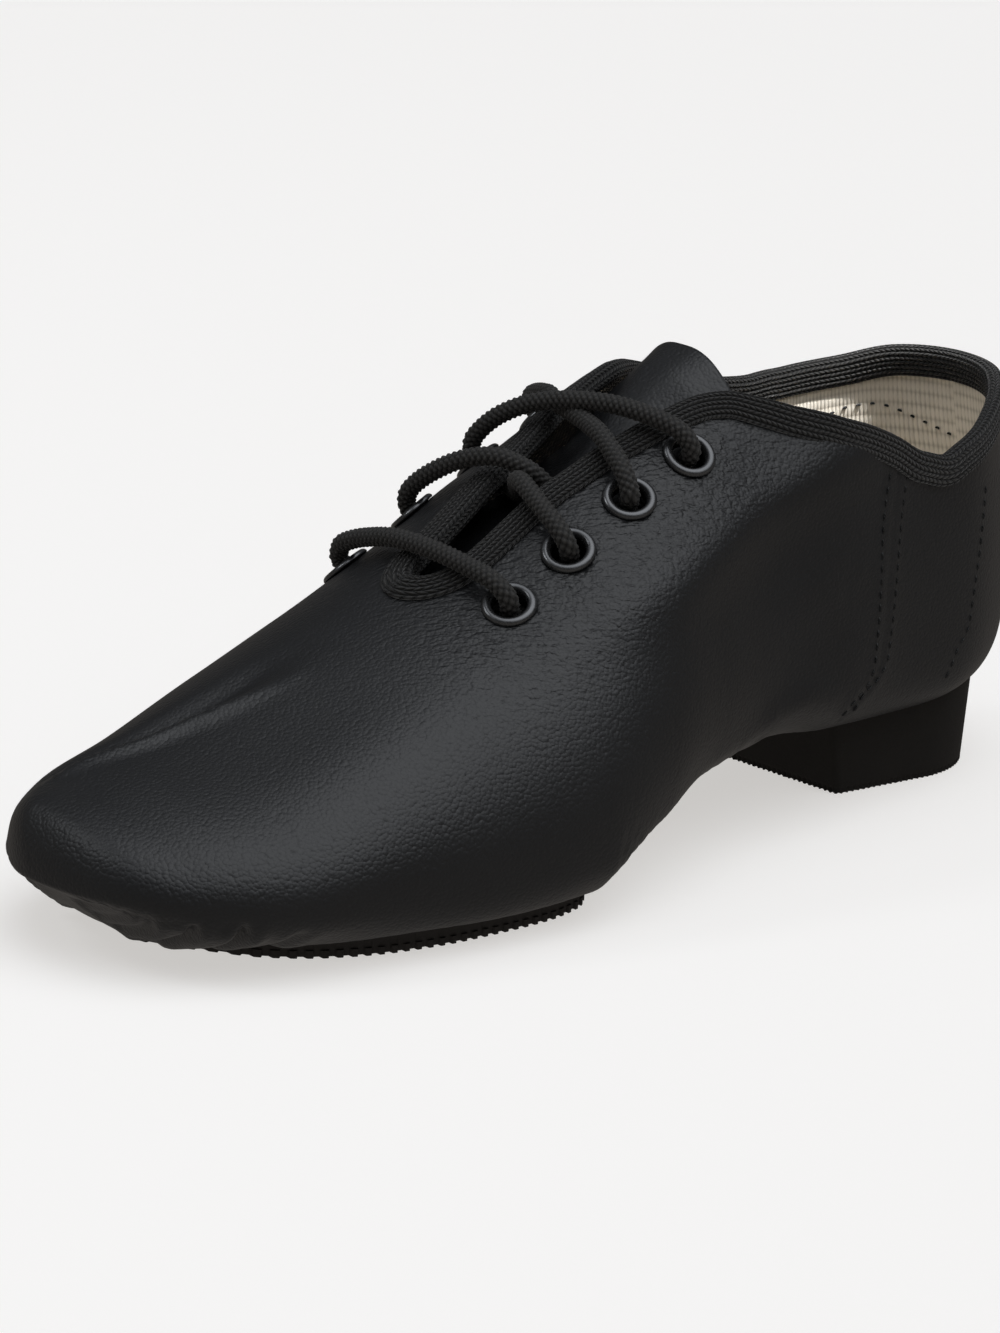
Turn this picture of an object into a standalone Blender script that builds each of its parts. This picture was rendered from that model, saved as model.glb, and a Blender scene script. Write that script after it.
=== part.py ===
import math

import bmesh
import bpy
import numpy as np
from mathutils import Vector

MM = 0.001

# Driving sizes of the last, from the toe tip to the back of the heel
LENGTH = 250.0 * MM
BALL_WIDTH = 93.6 * MM
INSTEP_HEIGHT = 96.3 * MM
HEEL_SEAT = 16.3 * MM
TOE_SPRING = 12.6 * MM
HEEL_CURVE = 16.0 * MM
BACK_HEIGHT = 70.7 * MM

# Thicknesses and clearances
WALL = 1.4 * MM
SEAT_GAP = 0.3 * MM
TAPE_GAP = 0.6 * MM
EYELET_GAP = 0.55 * MM
INSOLE_GAP = 0.4 * MM
SOLE_REST = 3.2 * MM
INSOLE_THICKNESS = 2.0 * MM
TONGUE_THICKNESS = 1.2 * MM
TAPE_THICKNESS = 0.7 * MM
TAPE_LEG = 5.2 * MM
LASTING_MARGIN = 7.0 * MM

# Throat: where it starts, how long its round bottom is, where its middle lies
THROAT_START = 0.340
THROAT_ROUND = 0.030
THROAT_MIDDLE = 85.0

# Eyelets and lace
EYELET_HOLE = 6.8 * MM
EYELET_FLANGE = 10.8 * MM
EYELET_BARREL = 7.8 * MM
EYELET_RIM = 0.9 * MM
LACE_DIAMETER = 3.6 * MM

# Heel block
HEEL_RADIUS = 22.8 * MM
HEEL_BREAST_WIDTH = 39.0 * MM
HEEL_LENGTH = 49.5 * MM
HEEL_FLARE = 1.2 * MM
HEEL_BREAST_SLANT = 5.0 * MM
HEEL_EDGE = 0.8 * MM
HEEL_RISE = 4.5 * MM
HEEL_BACK_SHARE = 0.9636
HEEL_MIDDLE = -0.038

# Insole: where it starts and ends along the length, degrees under the belly where its edge lies
INSOLE_START = 0.03
INSOLE_END = 0.98
INSOLE_EDGE = 38.0

# Forefoot patch
RIB_PITCH = 2.4 * MM
RIB_DEPTH = 0.45 * MM
RIB_HEIGHT = 1.3 * MM

# Sections of the last, a row for each station
# share: place along the length. lateral, medial, spine: places across, shares of the ball width
# toe, arch: rise of the bottom, shares of the toe spring and of the seat's rise
# belly, crown: heights above the bottom, shares of the instep height
# low, high: roundness of the section below and above the belly
SECTION_COLUMNS = ("share", "lateral", "medial", "spine", "toe", "arch", "belly", "crown", "low", "high")
SECTIONS = (
    (0.000, -0.080, 0.080, -0.080, 1.000, 0.000, 0.000, 0.000, 2.3, 2.00),
    (0.015, 0.138, 0.217, -0.130, 0.800, 0.000, 0.030, 0.138, 2.2, 2.00),
    (0.060, 0.281, 0.346, -0.130, 0.180, 0.000, 0.102, 0.264, 2.4, 2.00),
    (0.130, 0.382, 0.425, -0.113, 0.060, 0.000, 0.114, 0.328, 2.9, 2.00),
    (0.220, 0.436, 0.477, -0.095, 0.015, 0.000, 0.136, 0.433, 3.5, 2.00),
    (0.300, 0.475, 0.500, -0.081, 0.000, 0.000, 0.144, 0.532, 3.8, 2.00),
    (0.380, 0.500, 0.486, -0.071, 0.000, 0.000, 0.151, 0.644, 3.8, 2.07),
    (0.460, 0.467, 0.444, -0.055, 0.000, 0.100, 0.174, 0.757, 3.0, 2.24),
    (0.540, 0.398, 0.401, -0.049, 0.000, 0.458, 0.171, 0.813, 2.6, 2.43),
    (0.620, 0.348, 0.368, -0.047, 0.000, 0.794, 0.170, 0.861, 2.6, 2.51),
    (0.700, 0.340, 0.354, -0.040, 0.000, 0.969, 0.188, 0.967, 3.2, 2.52),
    (0.780, 0.312, 0.347, -0.038, 0.000, 1.000, 0.215, 1.129, 4.2, 2.50),
    (0.860, 0.298, 0.339, -0.038, 0.000, 1.000, 0.225, 1.285, 4.4, 2.60),
    (0.930, 0.234, 0.290, -0.034, 0.000, 1.000, 0.225, 1.388, 4.4, 2.60),
    (0.980, 0.133, 0.189, -0.030, 0.000, 1.000, 0.225, 1.440, 4.4, 2.60),
    (1.000, -0.028, 0.028, -0.028, 0.000, 1.000, 0.225, 1.440, 4.4, 2.60),
)

# Back of the heel: height above the seat as a share of the back height, inset as a share of the curve
BACK_ROWS = (
    (-0.09, 1.000),
    (0.00, 0.810),
    (0.08, 0.375),
    (0.19, 0.094),
    (0.31, 0.000),
    (0.48, 0.050),
    (0.62, 0.163),
    (0.76, 0.313),
    (0.90, 0.438),
    (1.04, 0.531),
    (2.05, 0.750),
)
BACK_START = 0.62

# Top edge of the upper: share along the length, degrees around the section on each side
# Degrees run from -90 under the foot over 0 at the lateral belly and 90 at the crown to 180 at the medial belly
RIM_ROWS = (
    (0.300, 78.5, 88.5),
    (0.352, 78.5, 88.8),
    (0.430, 79.2, 92.0),
    (0.490, 78.3, 96.3),
    (0.530, 75.6, 101.0),
    (0.556, 73.6, 105.0),
    (0.583, 71.0, 109.5),
    (0.610, 65.5, 114.0),
    (0.633, 57.3, 121.0),
    (0.659, 48.3, 129.5),
    (0.690, 40.0, 138.5),
    (0.727, 32.0, 146.5),
    (0.760, 25.5, 152.0),
    (0.800, 19.0, 157.0),
    (0.840, 15.7, 160.3),
    (0.880, 15.9, 161.7),
    (0.940, 17.0, 162.4),
    (1.000, 18.6, 161.4),
)

# Eyelets: share along the length, degrees around on the lateral and on the medial side
EYELETS = (
    (0.367, 62.0, 125.0),
    (0.425, 62.5, 121.5),
    (0.488, 62.0, 120.5),
    (0.552, 59.0, 121.5),
)

# Outline of the forefoot patch: share of the length, places across as shares of the ball width
PATCH_ROWS = (
    (0.084, -0.060, 0.060),
    (0.108, 0.083, 0.200),
    (0.134, 0.186, 0.278),
    (0.174, 0.274, 0.327),
    (0.222, 0.332, 0.355),
    (0.281, 0.366, 0.370),
    (0.352, 0.380, 0.366),
    (0.392, 0.363, 0.345),
    (0.424, 0.288, 0.276),
    (0.444, 0.000, 0.000),
)

# Tongue: share along the length, depth under the skin at its sides and in its middle
TONGUE_ROWS = (
    (0.296, 2.0 * MM, 2.0 * MM),
    (0.315, 2.0 * MM, 2.0 * MM),
    (0.327, 4.0 * MM, 4.0 * MM),
    (0.370, 7.9 * MM, 7.6 * MM),
    (0.540, 7.9 * MM, 6.6 * MM),
    (0.575, 6.0 * MM, 3.2 * MM),
    (0.605, 3.9 * MM, 0.9 * MM),
    (0.660, 3.6 * MM, 0.3 * MM),
)
TONGUE_START = 0.298
TONGUE_TURNS = (48.0, 128.0)

# Free edge of the tongue: place across from the medial to the lateral side, share along the length
TONGUE_EDGE = (
    (-1.00, 0.600),
    (-0.65, 0.626),
    (-0.40, 0.632),
    (-0.17, 0.633),
    (0.00, 0.632),
    (0.15, 0.630),
    (0.36, 0.627),
    (0.50, 0.626),
    (0.725, 0.624),
    (1.00, 0.610),
)

# Lace: share along the length, degrees around, height of its middle over the skin
LACE_BAR = (
    (0.367, 125.0, -2.8 * MM),
    (0.367, 124.8, 2.2 * MM),
    (0.366, 121.0, 4.0 * MM),
    (0.365, 117.0, 4.2 * MM),
    (0.364, 109.0, 3.6 * MM),
    (0.362, 96.0, 3.5 * MM),
    (0.362, 83.0, 3.6 * MM),
    (0.364, 72.0, 3.8 * MM),
    (0.366, 66.0, 3.8 * MM),
    (0.367, 62.2, 1.7 * MM),
    (0.367, 62.0, -2.8 * MM),
)
LACE_OVER_1 = (
    (0.425, 121.5, -2.8 * MM),
    (0.425, 121.2, 1.6 * MM),
    (0.426, 117.0, 4.0 * MM),
    (0.431, 109.0, 4.8 * MM),
    (0.440, 99.0, 5.2 * MM),
    (0.449, 90.5, 4.6 * MM),
    (0.456, 85.8, 1.4 * MM),
    (0.462, 83.2, -3.0 * MM),
    (0.466, 80.2, -5.2 * MM),
    (0.472, 75.0, -5.6 * MM),
    (0.481, 67.5, -5.6 * MM),
    (0.487, 63.0, -4.6 * MM),
    (0.488, 62.0, -1.6 * MM),
)
LACE_UNDER_1 = (
    (0.425, 62.5, -2.8 * MM),
    (0.425, 62.7, 1.7 * MM),
    (0.427, 66.5, 3.6 * MM),
    (0.431, 73.0, 3.8 * MM),
    (0.438, 80.5, 3.8 * MM),
    (0.444, 85.4, 1.4 * MM),
    (0.449, 88.0, -2.2 * MM),
    (0.454, 91.0, -5.0 * MM),
    (0.461, 97.0, -5.6 * MM),
    (0.471, 107.0, -5.6 * MM),
    (0.481, 116.5, -5.6 * MM),
    (0.487, 119.6, -4.6 * MM),
    (0.488, 120.5, -1.6 * MM),
)
LACE_OVER_2 = (
    (0.488, 120.5, 0.2 * MM),
    (0.488, 120.2, 2.2 * MM),
    (0.490, 116.0, 4.6 * MM),
    (0.499, 106.5, 5.6 * MM),
    (0.512, 95.0, 5.6 * MM),
    (0.528, 83.0, 5.1 * MM),
    (0.541, 71.0, 4.4 * MM),
    (0.549, 63.5, 3.9 * MM),
    (0.552, 59.2, 1.7 * MM),
    (0.552, 59.0, -2.8 * MM),
)
LACE_UNDER_2 = (
    (0.488, 62.0, 0.2 * MM),
    (0.488, 62.2, 2.0 * MM),
    (0.493, 67.0, 3.9 * MM),
    (0.504, 77.0, 3.9 * MM),
    (0.511, 83.5, 3.0 * MM),
    (0.517, 89.0, 2.8 * MM),
    (0.523, 95.0, 2.8 * MM),
    (0.530, 101.0, 4.0 * MM),
    (0.543, 112.5, 4.2 * MM),
    (0.550, 118.4, 4.2 * MM),
    (0.552, 121.3, 1.8 * MM),
    (0.552, 121.5, -2.8 * MM),
)

# Fineness of the meshes
STATIONS = 31
LOW_STEPS = 6
HIGH_STEPS = 7
TONGUE_ROWS_ALONG = 18
TONGUE_ROWS_ACROSS = 11


def clear_scene():
    for item in list(bpy.data.objects):
        bpy.data.objects.remove(item, do_unlink=True)


def smooth_column(places, values, wanted):
    """Monotone cubic through the rows of a table."""
    places = np.asarray(places, float)
    values = np.asarray(values, float)
    wanted = np.clip(np.asarray(wanted, float), places[0], places[-1])
    steps = np.diff(places)
    slopes = np.diff(values) / steps
    tangents = np.zeros_like(values)
    for index in range(1, len(values) - 1):
        before, after = slopes[index - 1], slopes[index]
        if before * after > 0:
            first = 2 * steps[index] + steps[index - 1]
            second = steps[index] + 2 * steps[index - 1]
            tangents[index] = (first + second) / (first / before + second / after)
    tangents[0] = slopes[0]
    tangents[-1] = slopes[-1]
    spot = np.clip(np.searchsorted(places, wanted, side="right") - 1, 0, len(steps) - 1)
    width = steps[spot]
    part = (wanted - places[spot]) / width
    return (
        (1 + 2 * part) * (1 - part) ** 2 * values[spot]
        + part * (1 - part) ** 2 * width * tangents[spot]
        + part ** 2 * (3 - 2 * part) * values[spot + 1]
        + part ** 2 * (part - 1) * width * tangents[spot + 1]
    )


def run_of(share):
    """Even-angle place along the shoe, so that toe and heel close roundly."""
    return np.arccos(1 - 2 * np.clip(share, 0, 1)) / math.pi


def share_of(run):
    return (1 - np.cos(math.pi * np.asarray(run, float))) / 2


def column(name, run):
    rows = np.array(SECTIONS)
    return smooth_column(run_of(rows[:, 0]), rows[:, SECTION_COLUMNS.index(name)], run)


def heel_inset(height):
    rows = np.array(BACK_ROWS)
    return HEEL_CURVE * smooth_column(rows[:, 0], rows[:, 1], (height - HEEL_SEAT) / BACK_HEIGHT)


def skin(run, turn):
    """Outer face of the upper at a place along and degrees around; past the heel it folds to the other side."""
    run, turn = np.broadcast_arrays(np.asarray(run, float), np.asarray(turn, float))
    turn = np.where(run > 1, 180 - turn, turn)
    run = np.where(run > 1, 2 - run, run)
    turn = (turn + 90) % 360 - 90
    lateral = turn < 90
    angle = np.radians(np.where(lateral, turn, 180 - turn))
    share = share_of(run)
    bottom = SOLE_REST + TOE_SPRING * column("toe", run) + (HEEL_SEAT - SOLE_REST) * column("arch", run)
    belly = bottom + INSTEP_HEIGHT * column("belly", run)
    crown = bottom + INSTEP_HEIGHT * column("crown", run)
    spine = BALL_WIDTH * column("spine", run)
    edge = BALL_WIDTH * np.where(lateral, column("lateral", run), -column("medial", run))
    low = angle < 0
    power = np.where(low, 2 / column("low", run), 2 / column("high", run))
    across = spine + (edge - spine) * np.abs(np.cos(angle)) ** power
    reach = np.where(low, bottom - belly, crown - belly)
    height = belly + reach * np.abs(np.sin(angle)) ** power
    fade = np.clip((share - BACK_START) / (1 - BACK_START), 0, 1) ** 2
    along = LENGTH * (share - 0.5) - heel_inset(height) * fade
    return np.stack([across, along, height], axis=-1)


def outward(run, turn):
    """Unit normal of the skin."""
    run = np.maximum(np.asarray(run, float), 0.006)
    turn = np.asarray(turn, float)
    turn = np.where((turn + 90) % 180 < 0.5, turn + 0.5, turn)
    forward = skin(run + 0.002, turn) - skin(run - 0.002, turn)
    around = skin(run, turn + 0.8) - skin(run, turn - 0.8)
    normal = np.cross(forward, around)
    return normal / np.linalg.norm(normal, axis=-1, keepdims=True)


def over_skin(run, turn, height):
    """Point at a height over the skin; a depth is a negative height."""
    return skin(run, turn) + outward(run, turn) * np.asarray(height, float)[..., None]


def rim(run):
    """Degrees around of the upper's top edge, lateral and medial, with the throat's round bottom."""
    rows = np.array(RIM_ROWS)
    share = share_of(run)
    lateral = smooth_column(rows[:, 0], rows[:, 1], share)
    medial = smooth_column(rows[:, 0], rows[:, 2], share)
    into = np.clip((share - THROAT_START) / THROAT_ROUND, 0, 1)
    opened = np.sqrt(1 - (1 - into) ** 2)
    return THROAT_MIDDLE + (lateral - THROAT_MIDDLE) * opened, THROAT_MIDDLE + (medial - THROAT_MIDDLE) * opened


def slide(run, turn, direction, distance):
    """Walk over the skin from one place in a direction, in short steps."""
    pace = 4
    for _ in range(pace):
        ahead = (skin(run + 0.002, turn) - skin(run - 0.002, turn)) / 0.004
        around = (skin(run, turn + 0.5) - skin(run, turn - 0.5)) / 1.0
        jacobian = np.stack([ahead, around], axis=1)
        move = np.linalg.lstsq(jacobian, direction * distance / pace, rcond=None)[0]
        run, turn = run + move[0], turn + move[1]
    return run, turn


def upper_runs():
    """Stations of the upper: even along the shoe, with extra ones around the throat's round bottom."""
    start = float(run_of(THROAT_START))
    end = float(run_of(THROAT_START + THROAT_ROUND))
    curve = [THROAT_START + THROAT_ROUND * part for part in (0.0, 0.04, 0.16, 0.42, 1.0)]
    runs = [value for value in np.linspace(0, 1, STATIONS + 1) if value < start - 0.008 or value > end + 0.008]
    return np.array(sorted(runs + [float(run_of(share)) for share in curve]))


def side_turns(low_end, high_end, middle):
    """Degrees of one side's points: under the belly, then up to the edge."""
    lower = np.linspace(low_end, middle, LOW_STEPS + 1)
    upper = np.linspace(middle, high_end, HIGH_STEPS + 1)
    return np.concatenate([lower, upper[1:]])


def new_mesh_object(name, verts, faces, group):
    mesh = bpy.data.meshes.new(name)
    mesh.from_pydata([tuple(point) for point in verts], [], faces)
    item = bpy.data.objects.new(name, mesh)
    group.objects.link(item)
    return item


def clean(item, distance=0.00002):
    """Weld coincident points, drop what that flattens and turn the faces outwards."""
    form = bmesh.new()
    form.from_mesh(item.data)
    bmesh.ops.remove_doubles(form, verts=form.verts, dist=distance)
    bmesh.ops.dissolve_degenerate(form, edges=form.edges, dist=distance)
    bmesh.ops.recalc_face_normals(form, faces=form.faces)
    if form.calc_volume(signed=True) < 0:
        bmesh.ops.reverse_faces(form, faces=form.faces)
    form.to_mesh(item.data)
    form.free()
    item.data.shade_smooth()


def grid_faces(rows, columns, start=0):
    faces = []
    for row in range(rows - 1):
        for step in range(columns - 1):
            first = start + row * columns + step
            faces.append((first, first + columns, first + columns + 1, first + 1))
    return faces


def loft(name, rings, group, closed_along=False, end_cap=True):
    """Join rings of equal count into one closed body; open lofts get a cap at each end."""
    count = len(rings[0])
    verts = [point for ring in rings for point in ring]
    faces = []
    last = len(rings) if closed_along else len(rings) - 1
    for row in range(last):
        following = (row + 1) % len(rings)
        for step in range(count):
            ahead = (step + 1) % count
            faces.append((row * count + step, row * count + ahead, following * count + ahead, following * count + step))
    if not closed_along:
        faces.append(tuple(range(count)))
        if end_cap:
            faces.append(tuple(range((len(rings) - 1) * count, len(rings) * count)))
    item = new_mesh_object(name, verts, faces, group)
    clean(item)
    return item


def add_boolean(item, cutter, operation="DIFFERENCE"):
    modifier = item.modifiers.new(operation.title(), "BOOLEAN")
    modifier.operation = operation
    modifier.solver = "EXACT"
    modifier.object = cutter


def add_shell(item, thickness):
    """Give an open surface its wall, on the inner side."""
    modifier = item.modifiers.new("Wall", "SOLIDIFY")
    modifier.thickness = thickness
    modifier.offset = -1
    modifier.use_even_offset = True
    modifier.use_rim = True


def as_cutter(item):
    item.hide_render = True
    item.display_type = "WIRE"
    return item


def skin_sheet(runs, turns, depth=None):
    """Points of a sheet over the skin, a row for each run."""
    points = []
    for index, run in enumerate(runs):
        row = np.asarray(turns[index], float)
        if depth is None:
            points.append(skin(run, row))
        else:
            points.append(over_skin(np.full_like(row, run), row, -np.asarray(depth[index], float)))
    return points


def last_envelope(group, spread):
    """Closed body of the last, spread outwards: what the soles are seated against."""
    runs = upper_runs()
    rings = []
    for run in runs[1:]:
        lateral = side_turns(-90, 90, 0)
        medial = side_turns(270, 90, 180)[::-1]
        turns = np.concatenate([lateral, medial[1:-1]])
        rings.append(over_skin(np.full_like(turns, run), turns, np.full_like(turns, spread)))
    return as_cutter(loft("last_envelope", rings, group, end_cap=False))


def make_upper(group, cutters):
    runs = upper_runs()
    lateral_rows, medial_rows = [], []
    for run in runs:
        lateral_edge, medial_edge = rim(run)
        lateral_rows.append(side_turns(-90, lateral_edge, 0))
        medial_rows.append(side_turns(270, medial_edge, 180)[::-1])
    verts, faces = [], []
    for rows in (lateral_rows, medial_rows):
        sheet = skin_sheet(runs, rows)
        faces += grid_faces(len(runs), len(rows[0]), len(verts))
        verts += [point for row in sheet for point in row]
    upper = new_mesh_object("upper", verts, faces, group)
    clean(upper)
    add_shell(upper, WALL)
    for cutter in cutters:
        add_boolean(upper, cutter)
    return upper


def patch_outline(count):
    """Even points around the forefoot patch, anticlockwise from its toe end."""
    rows = np.array(PATCH_ROWS)
    span = (rows[:, 0] - rows[0, 0]) / (rows[-1, 0] - rows[0, 0])
    fine = np.linspace(0, 1, 121)
    share = rows[0, 0] + (rows[-1, 0] - rows[0, 0]) * share_of(fine)
    lateral = smooth_column(run_of(span), rows[:, 1], fine) * BALL_WIDTH
    medial = -smooth_column(run_of(span), rows[:, 2], fine) * BALL_WIDTH
    along = LENGTH * (share - 0.5)
    loop = np.concatenate([np.stack([lateral, along], 1), np.stack([medial, along], 1)[::-1][1:-1]])
    return even_loop(loop, count)


def even_loop(loop, count):
    closed = np.vstack([loop, loop[:1]])
    lengths = np.concatenate([[0], np.cumsum(np.linalg.norm(np.diff(closed, axis=0), axis=1))])
    wanted = np.linspace(0, lengths[-1], count, endpoint=False)
    return np.stack([np.interp(wanted, lengths, closed[:, axis]) for axis in (0, 1)], 1)


def inset_loop(loop, distance):
    """Move an anticlockwise outline inwards along its normals; a distance for each point is allowed."""
    tangent = np.roll(loop, -1, axis=0) - np.roll(loop, 1, axis=0)
    tangent /= np.linalg.norm(tangent, axis=1, keepdims=True)
    inward = np.stack([-tangent[:, 1], tangent[:, 0]], 1)
    return loop + inward * np.broadcast_to(distance, len(loop))[:, None]


def at_height(loop, height):
    return np.column_stack([loop, np.full(len(loop), height)])


def heel_outline(spread, slant, count=40):
    """D-shaped outline: a straight breast, sides that widen and a round back."""
    middle = HEEL_MIDDLE * BALL_WIDTH
    back = LENGTH * (HEEL_BACK_SHARE - 0.5)
    centre = back - HEEL_RADIUS
    radius = HEEL_RADIUS + spread
    breast = back - HEEL_LENGTH - slant
    half = HEEL_BREAST_WIDTH / 2 + spread
    arc = np.linspace(-8, 188, count)
    round_back = np.stack([middle + radius * np.cos(np.radians(arc)), centre + radius * np.sin(np.radians(arc))], 1)
    corner = 1.5 * MM
    front = np.array([
        (middle - half, breast + corner),
        (middle - half + corner, breast),
        (middle + half - corner, breast),
        (middle + half, breast + corner),
    ])
    return np.vstack([front, round_back])


def prism(name, loop, low, high, group):
    return loft(name, [at_height(loop, low), at_height(loop, high)], group)


def make_forefoot_sole(group, envelope, plug):
    perimeter_points = patch_outline(400)
    perimeter = np.linalg.norm(np.diff(np.vstack([perimeter_points, perimeter_points[:1]]), axis=0), axis=1).sum()
    ribs = int(round(perimeter / RIB_PITCH))
    outline = patch_outline(2 * ribs)
    notched = inset_loop(outline, np.where(np.arange(2 * ribs) % 2 == 0, 0.0, RIB_DEPTH))
    rings = [
        at_height(notched, 0.0),
        at_height(notched, RIB_HEIGHT),
        at_height(inset_loop(outline, RIB_DEPTH), HEEL_SEAT),
    ]
    sole = loft("forefoot_sole", rings, group)
    add_boolean(sole, envelope)
    add_boolean(sole, plug, "UNION")
    return sole


def make_heel_block(group, envelope, plug):
    rings = [
        at_height(heel_outline(-HEEL_EDGE, 0.0), 0.0),
        at_height(heel_outline(0.0, 0.4 * MM), HEEL_EDGE),
        at_height(heel_outline(HEEL_FLARE, HEEL_BREAST_SLANT), HEEL_SEAT + HEEL_RISE),
    ]
    block = loft("heel_block", rings, group)
    add_boolean(block, envelope)
    add_boolean(block, plug, "UNION")
    return block


def make_insole(group):
    runs = upper_runs()
    runs = runs[(share_of(runs) > INSOLE_START) & (share_of(runs) < INSOLE_END)]
    turns = np.linspace(-INSOLE_EDGE, INSOLE_EDGE - 180, 7)
    depth = np.full_like(turns, WALL + INSOLE_GAP)
    sheet = skin_sheet(runs, [turns] * len(runs), [depth] * len(runs))
    insole = new_mesh_object("insole", [point for row in sheet for point in row],
                             grid_faces(len(runs), len(turns)), group)
    clean(insole)
    flip_if_needed(insole, Vector((0, 0, -1)))
    add_shell(insole, INSOLE_THICKNESS)
    return insole


def flip_if_needed(item, wanted):
    """Make an open sheet face the wanted way, so that its wall grows on the other side."""
    total = sum((face.normal * face.area for face in item.data.polygons), Vector())
    if total.dot(wanted) < 0:
        item.data.flip_normals()


def tongue_depth(share, turn):
    rows = np.array(TONGUE_ROWS)
    side = smooth_column(rows[:, 0], rows[:, 1], share)
    middle = smooth_column(rows[:, 0], rows[:, 2], share)
    lateral, medial = rim(run_of(np.maximum(share, THROAT_START + 0.004)))
    spread = np.abs(turn - (lateral + medial) / 2) / ((medial - lateral) / 2)
    fall = np.clip((spread - 0.05) / 0.83, 0, 1)
    weight = 1 - fall * fall * (3 - 2 * fall)
    return side + (middle - side) * weight


def make_tongue(group):
    turns = np.linspace(*TONGUE_TURNS, TONGUE_ROWS_ACROSS)
    across = np.linspace(1, -1, TONGUE_ROWS_ACROSS)
    edge = np.array(TONGUE_EDGE)
    end = smooth_column(edge[:, 0], edge[:, 1], across)
    rows = []
    for part in np.linspace(0, 1, TONGUE_ROWS_ALONG):
        share = TONGUE_START + (end - TONGUE_START) * part
        rows.append(over_skin(run_of(share), turns, -tongue_depth(share, turns)))
    tongue = new_mesh_object("tongue", [point for row in rows for point in row],
                             grid_faces(TONGUE_ROWS_ALONG, TONGUE_ROWS_ACROSS), group)
    clean(tongue)
    flip_if_needed(tongue, Vector((0, -0.5, 1)))
    add_shell(tongue, TONGUE_THICKNESS)
    return tongue


def make_binding(group):
    """U-shaped tape lofted around the whole edge: throat bottom, lateral side, heel, medial side."""
    runs = upper_runs()
    runs = runs[share_of(runs) > THROAT_START + 0.0001]
    lateral, medial = rim(runs)
    path = [(float(run_of(THROAT_START)), THROAT_MIDDLE)]
    path += list(zip(runs, lateral))
    path += [(run, turn) for run, turn in zip(runs[::-1], medial[::-1])][1:]
    points = np.array([skin(*place) for place in path])
    tangents = np.roll(points, -1, axis=0) - np.roll(points, 1, axis=0)
    outer, inner = TAPE_GAP + TAPE_THICKNESS, TAPE_GAP
    floor = WALL + TAPE_GAP
    profile = (
        (TAPE_LEG, outer), (TAPE_LEG / 2, outer), (0.0, outer),
        (-0.8 * outer, 0.2 * outer), (-0.8 * outer, -WALL - 0.2 * outer),
        (0.0, -floor - TAPE_THICKNESS), (TAPE_LEG / 2, -floor - TAPE_THICKNESS), (TAPE_LEG, -floor - TAPE_THICKNESS),
        (TAPE_LEG, -floor), (TAPE_LEG / 2, -floor), (-inner, -floor),
        (-inner, inner), (TAPE_LEG / 2, inner), (TAPE_LEG, inner),
    )
    rings = []
    for (run, turn), tangent, point in zip(path, tangents, points):
        tangent = tangent / np.linalg.norm(tangent)
        normal = outward(run, turn)
        into = np.cross(tangent, normal)
        into /= np.linalg.norm(into)
        ring = []
        for distance, height in profile:
            if distance > 0:
                place = slide(run, turn, into, distance)
                ring.append(skin(*place) + outward(*place) * height)
            else:
                ring.append(point + into * distance + normal * height)
        rings.append(np.array(ring))
    return loft("binding", rings, group, closed_along=True)


def frame_at(share, turn):
    """Middle and unit axes of an eyelet's seat: across the wall, along and around."""
    run = float(run_of(share))
    normal = outward(run, turn)
    along = skin(run + 0.002, turn) - skin(run - 0.002, turn)
    along -= normal * along.dot(normal)
    along /= np.linalg.norm(along)
    return skin(run, turn), normal, along, np.cross(normal, along)


def turned(name, seat, profile, group, count=12, closed=True):
    """Body turned about an eyelet's axis from rows of radius and height."""
    middle, normal, along, around = seat
    rings = []
    for radius, height in profile:
        angles = np.linspace(0, 2 * math.pi, count, endpoint=False)
        rings.append([middle + normal * height + radius * (along * math.cos(a) + around * math.sin(a)) for a in angles])
    return loft(name, rings, group, closed_along=closed)


def eyelet_profile():
    bore, flange, barrel = EYELET_HOLE / 2, EYELET_FLANGE / 2, EYELET_BARREL / 2
    top = EYELET_GAP + EYELET_RIM
    under = -WALL - 2 * EYELET_GAP
    return (
        (bore, 0.6 * top), (bore + 0.7 * MM, top), (flange - 0.6 * MM, 0.9 * top), (flange, EYELET_GAP),
        (barrel, EYELET_GAP), (barrel, under), (barrel + 0.6 * MM, under), (bore, under - 0.5 * MM),
    )


def make_eyelets(group):
    eyelets = []
    for number, (share, lateral, medial) in enumerate(EYELETS, 1):
        for side, turn in (("lateral", lateral), ("medial", medial)):
            eyelets.append(turned(f"eyelet_{side}_{number}", frame_at(share, turn), eyelet_profile(), group))
    return eyelets


def eyelet_cutters(group):
    cutters = []
    radius = EYELET_BARREL / 2 + EYELET_GAP
    for number, (share, lateral, medial) in enumerate(EYELETS, 1):
        for turn in (lateral, medial):
            profile = ((radius, 3 * MM), (radius, -4 * MM))
            cutter = turned(f"eyelet_hole_{number}_{int(turn)}", frame_at(share, turn), profile, group, 16, False)
            cutters.append(as_cutter(cutter))
    return cutters


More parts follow.
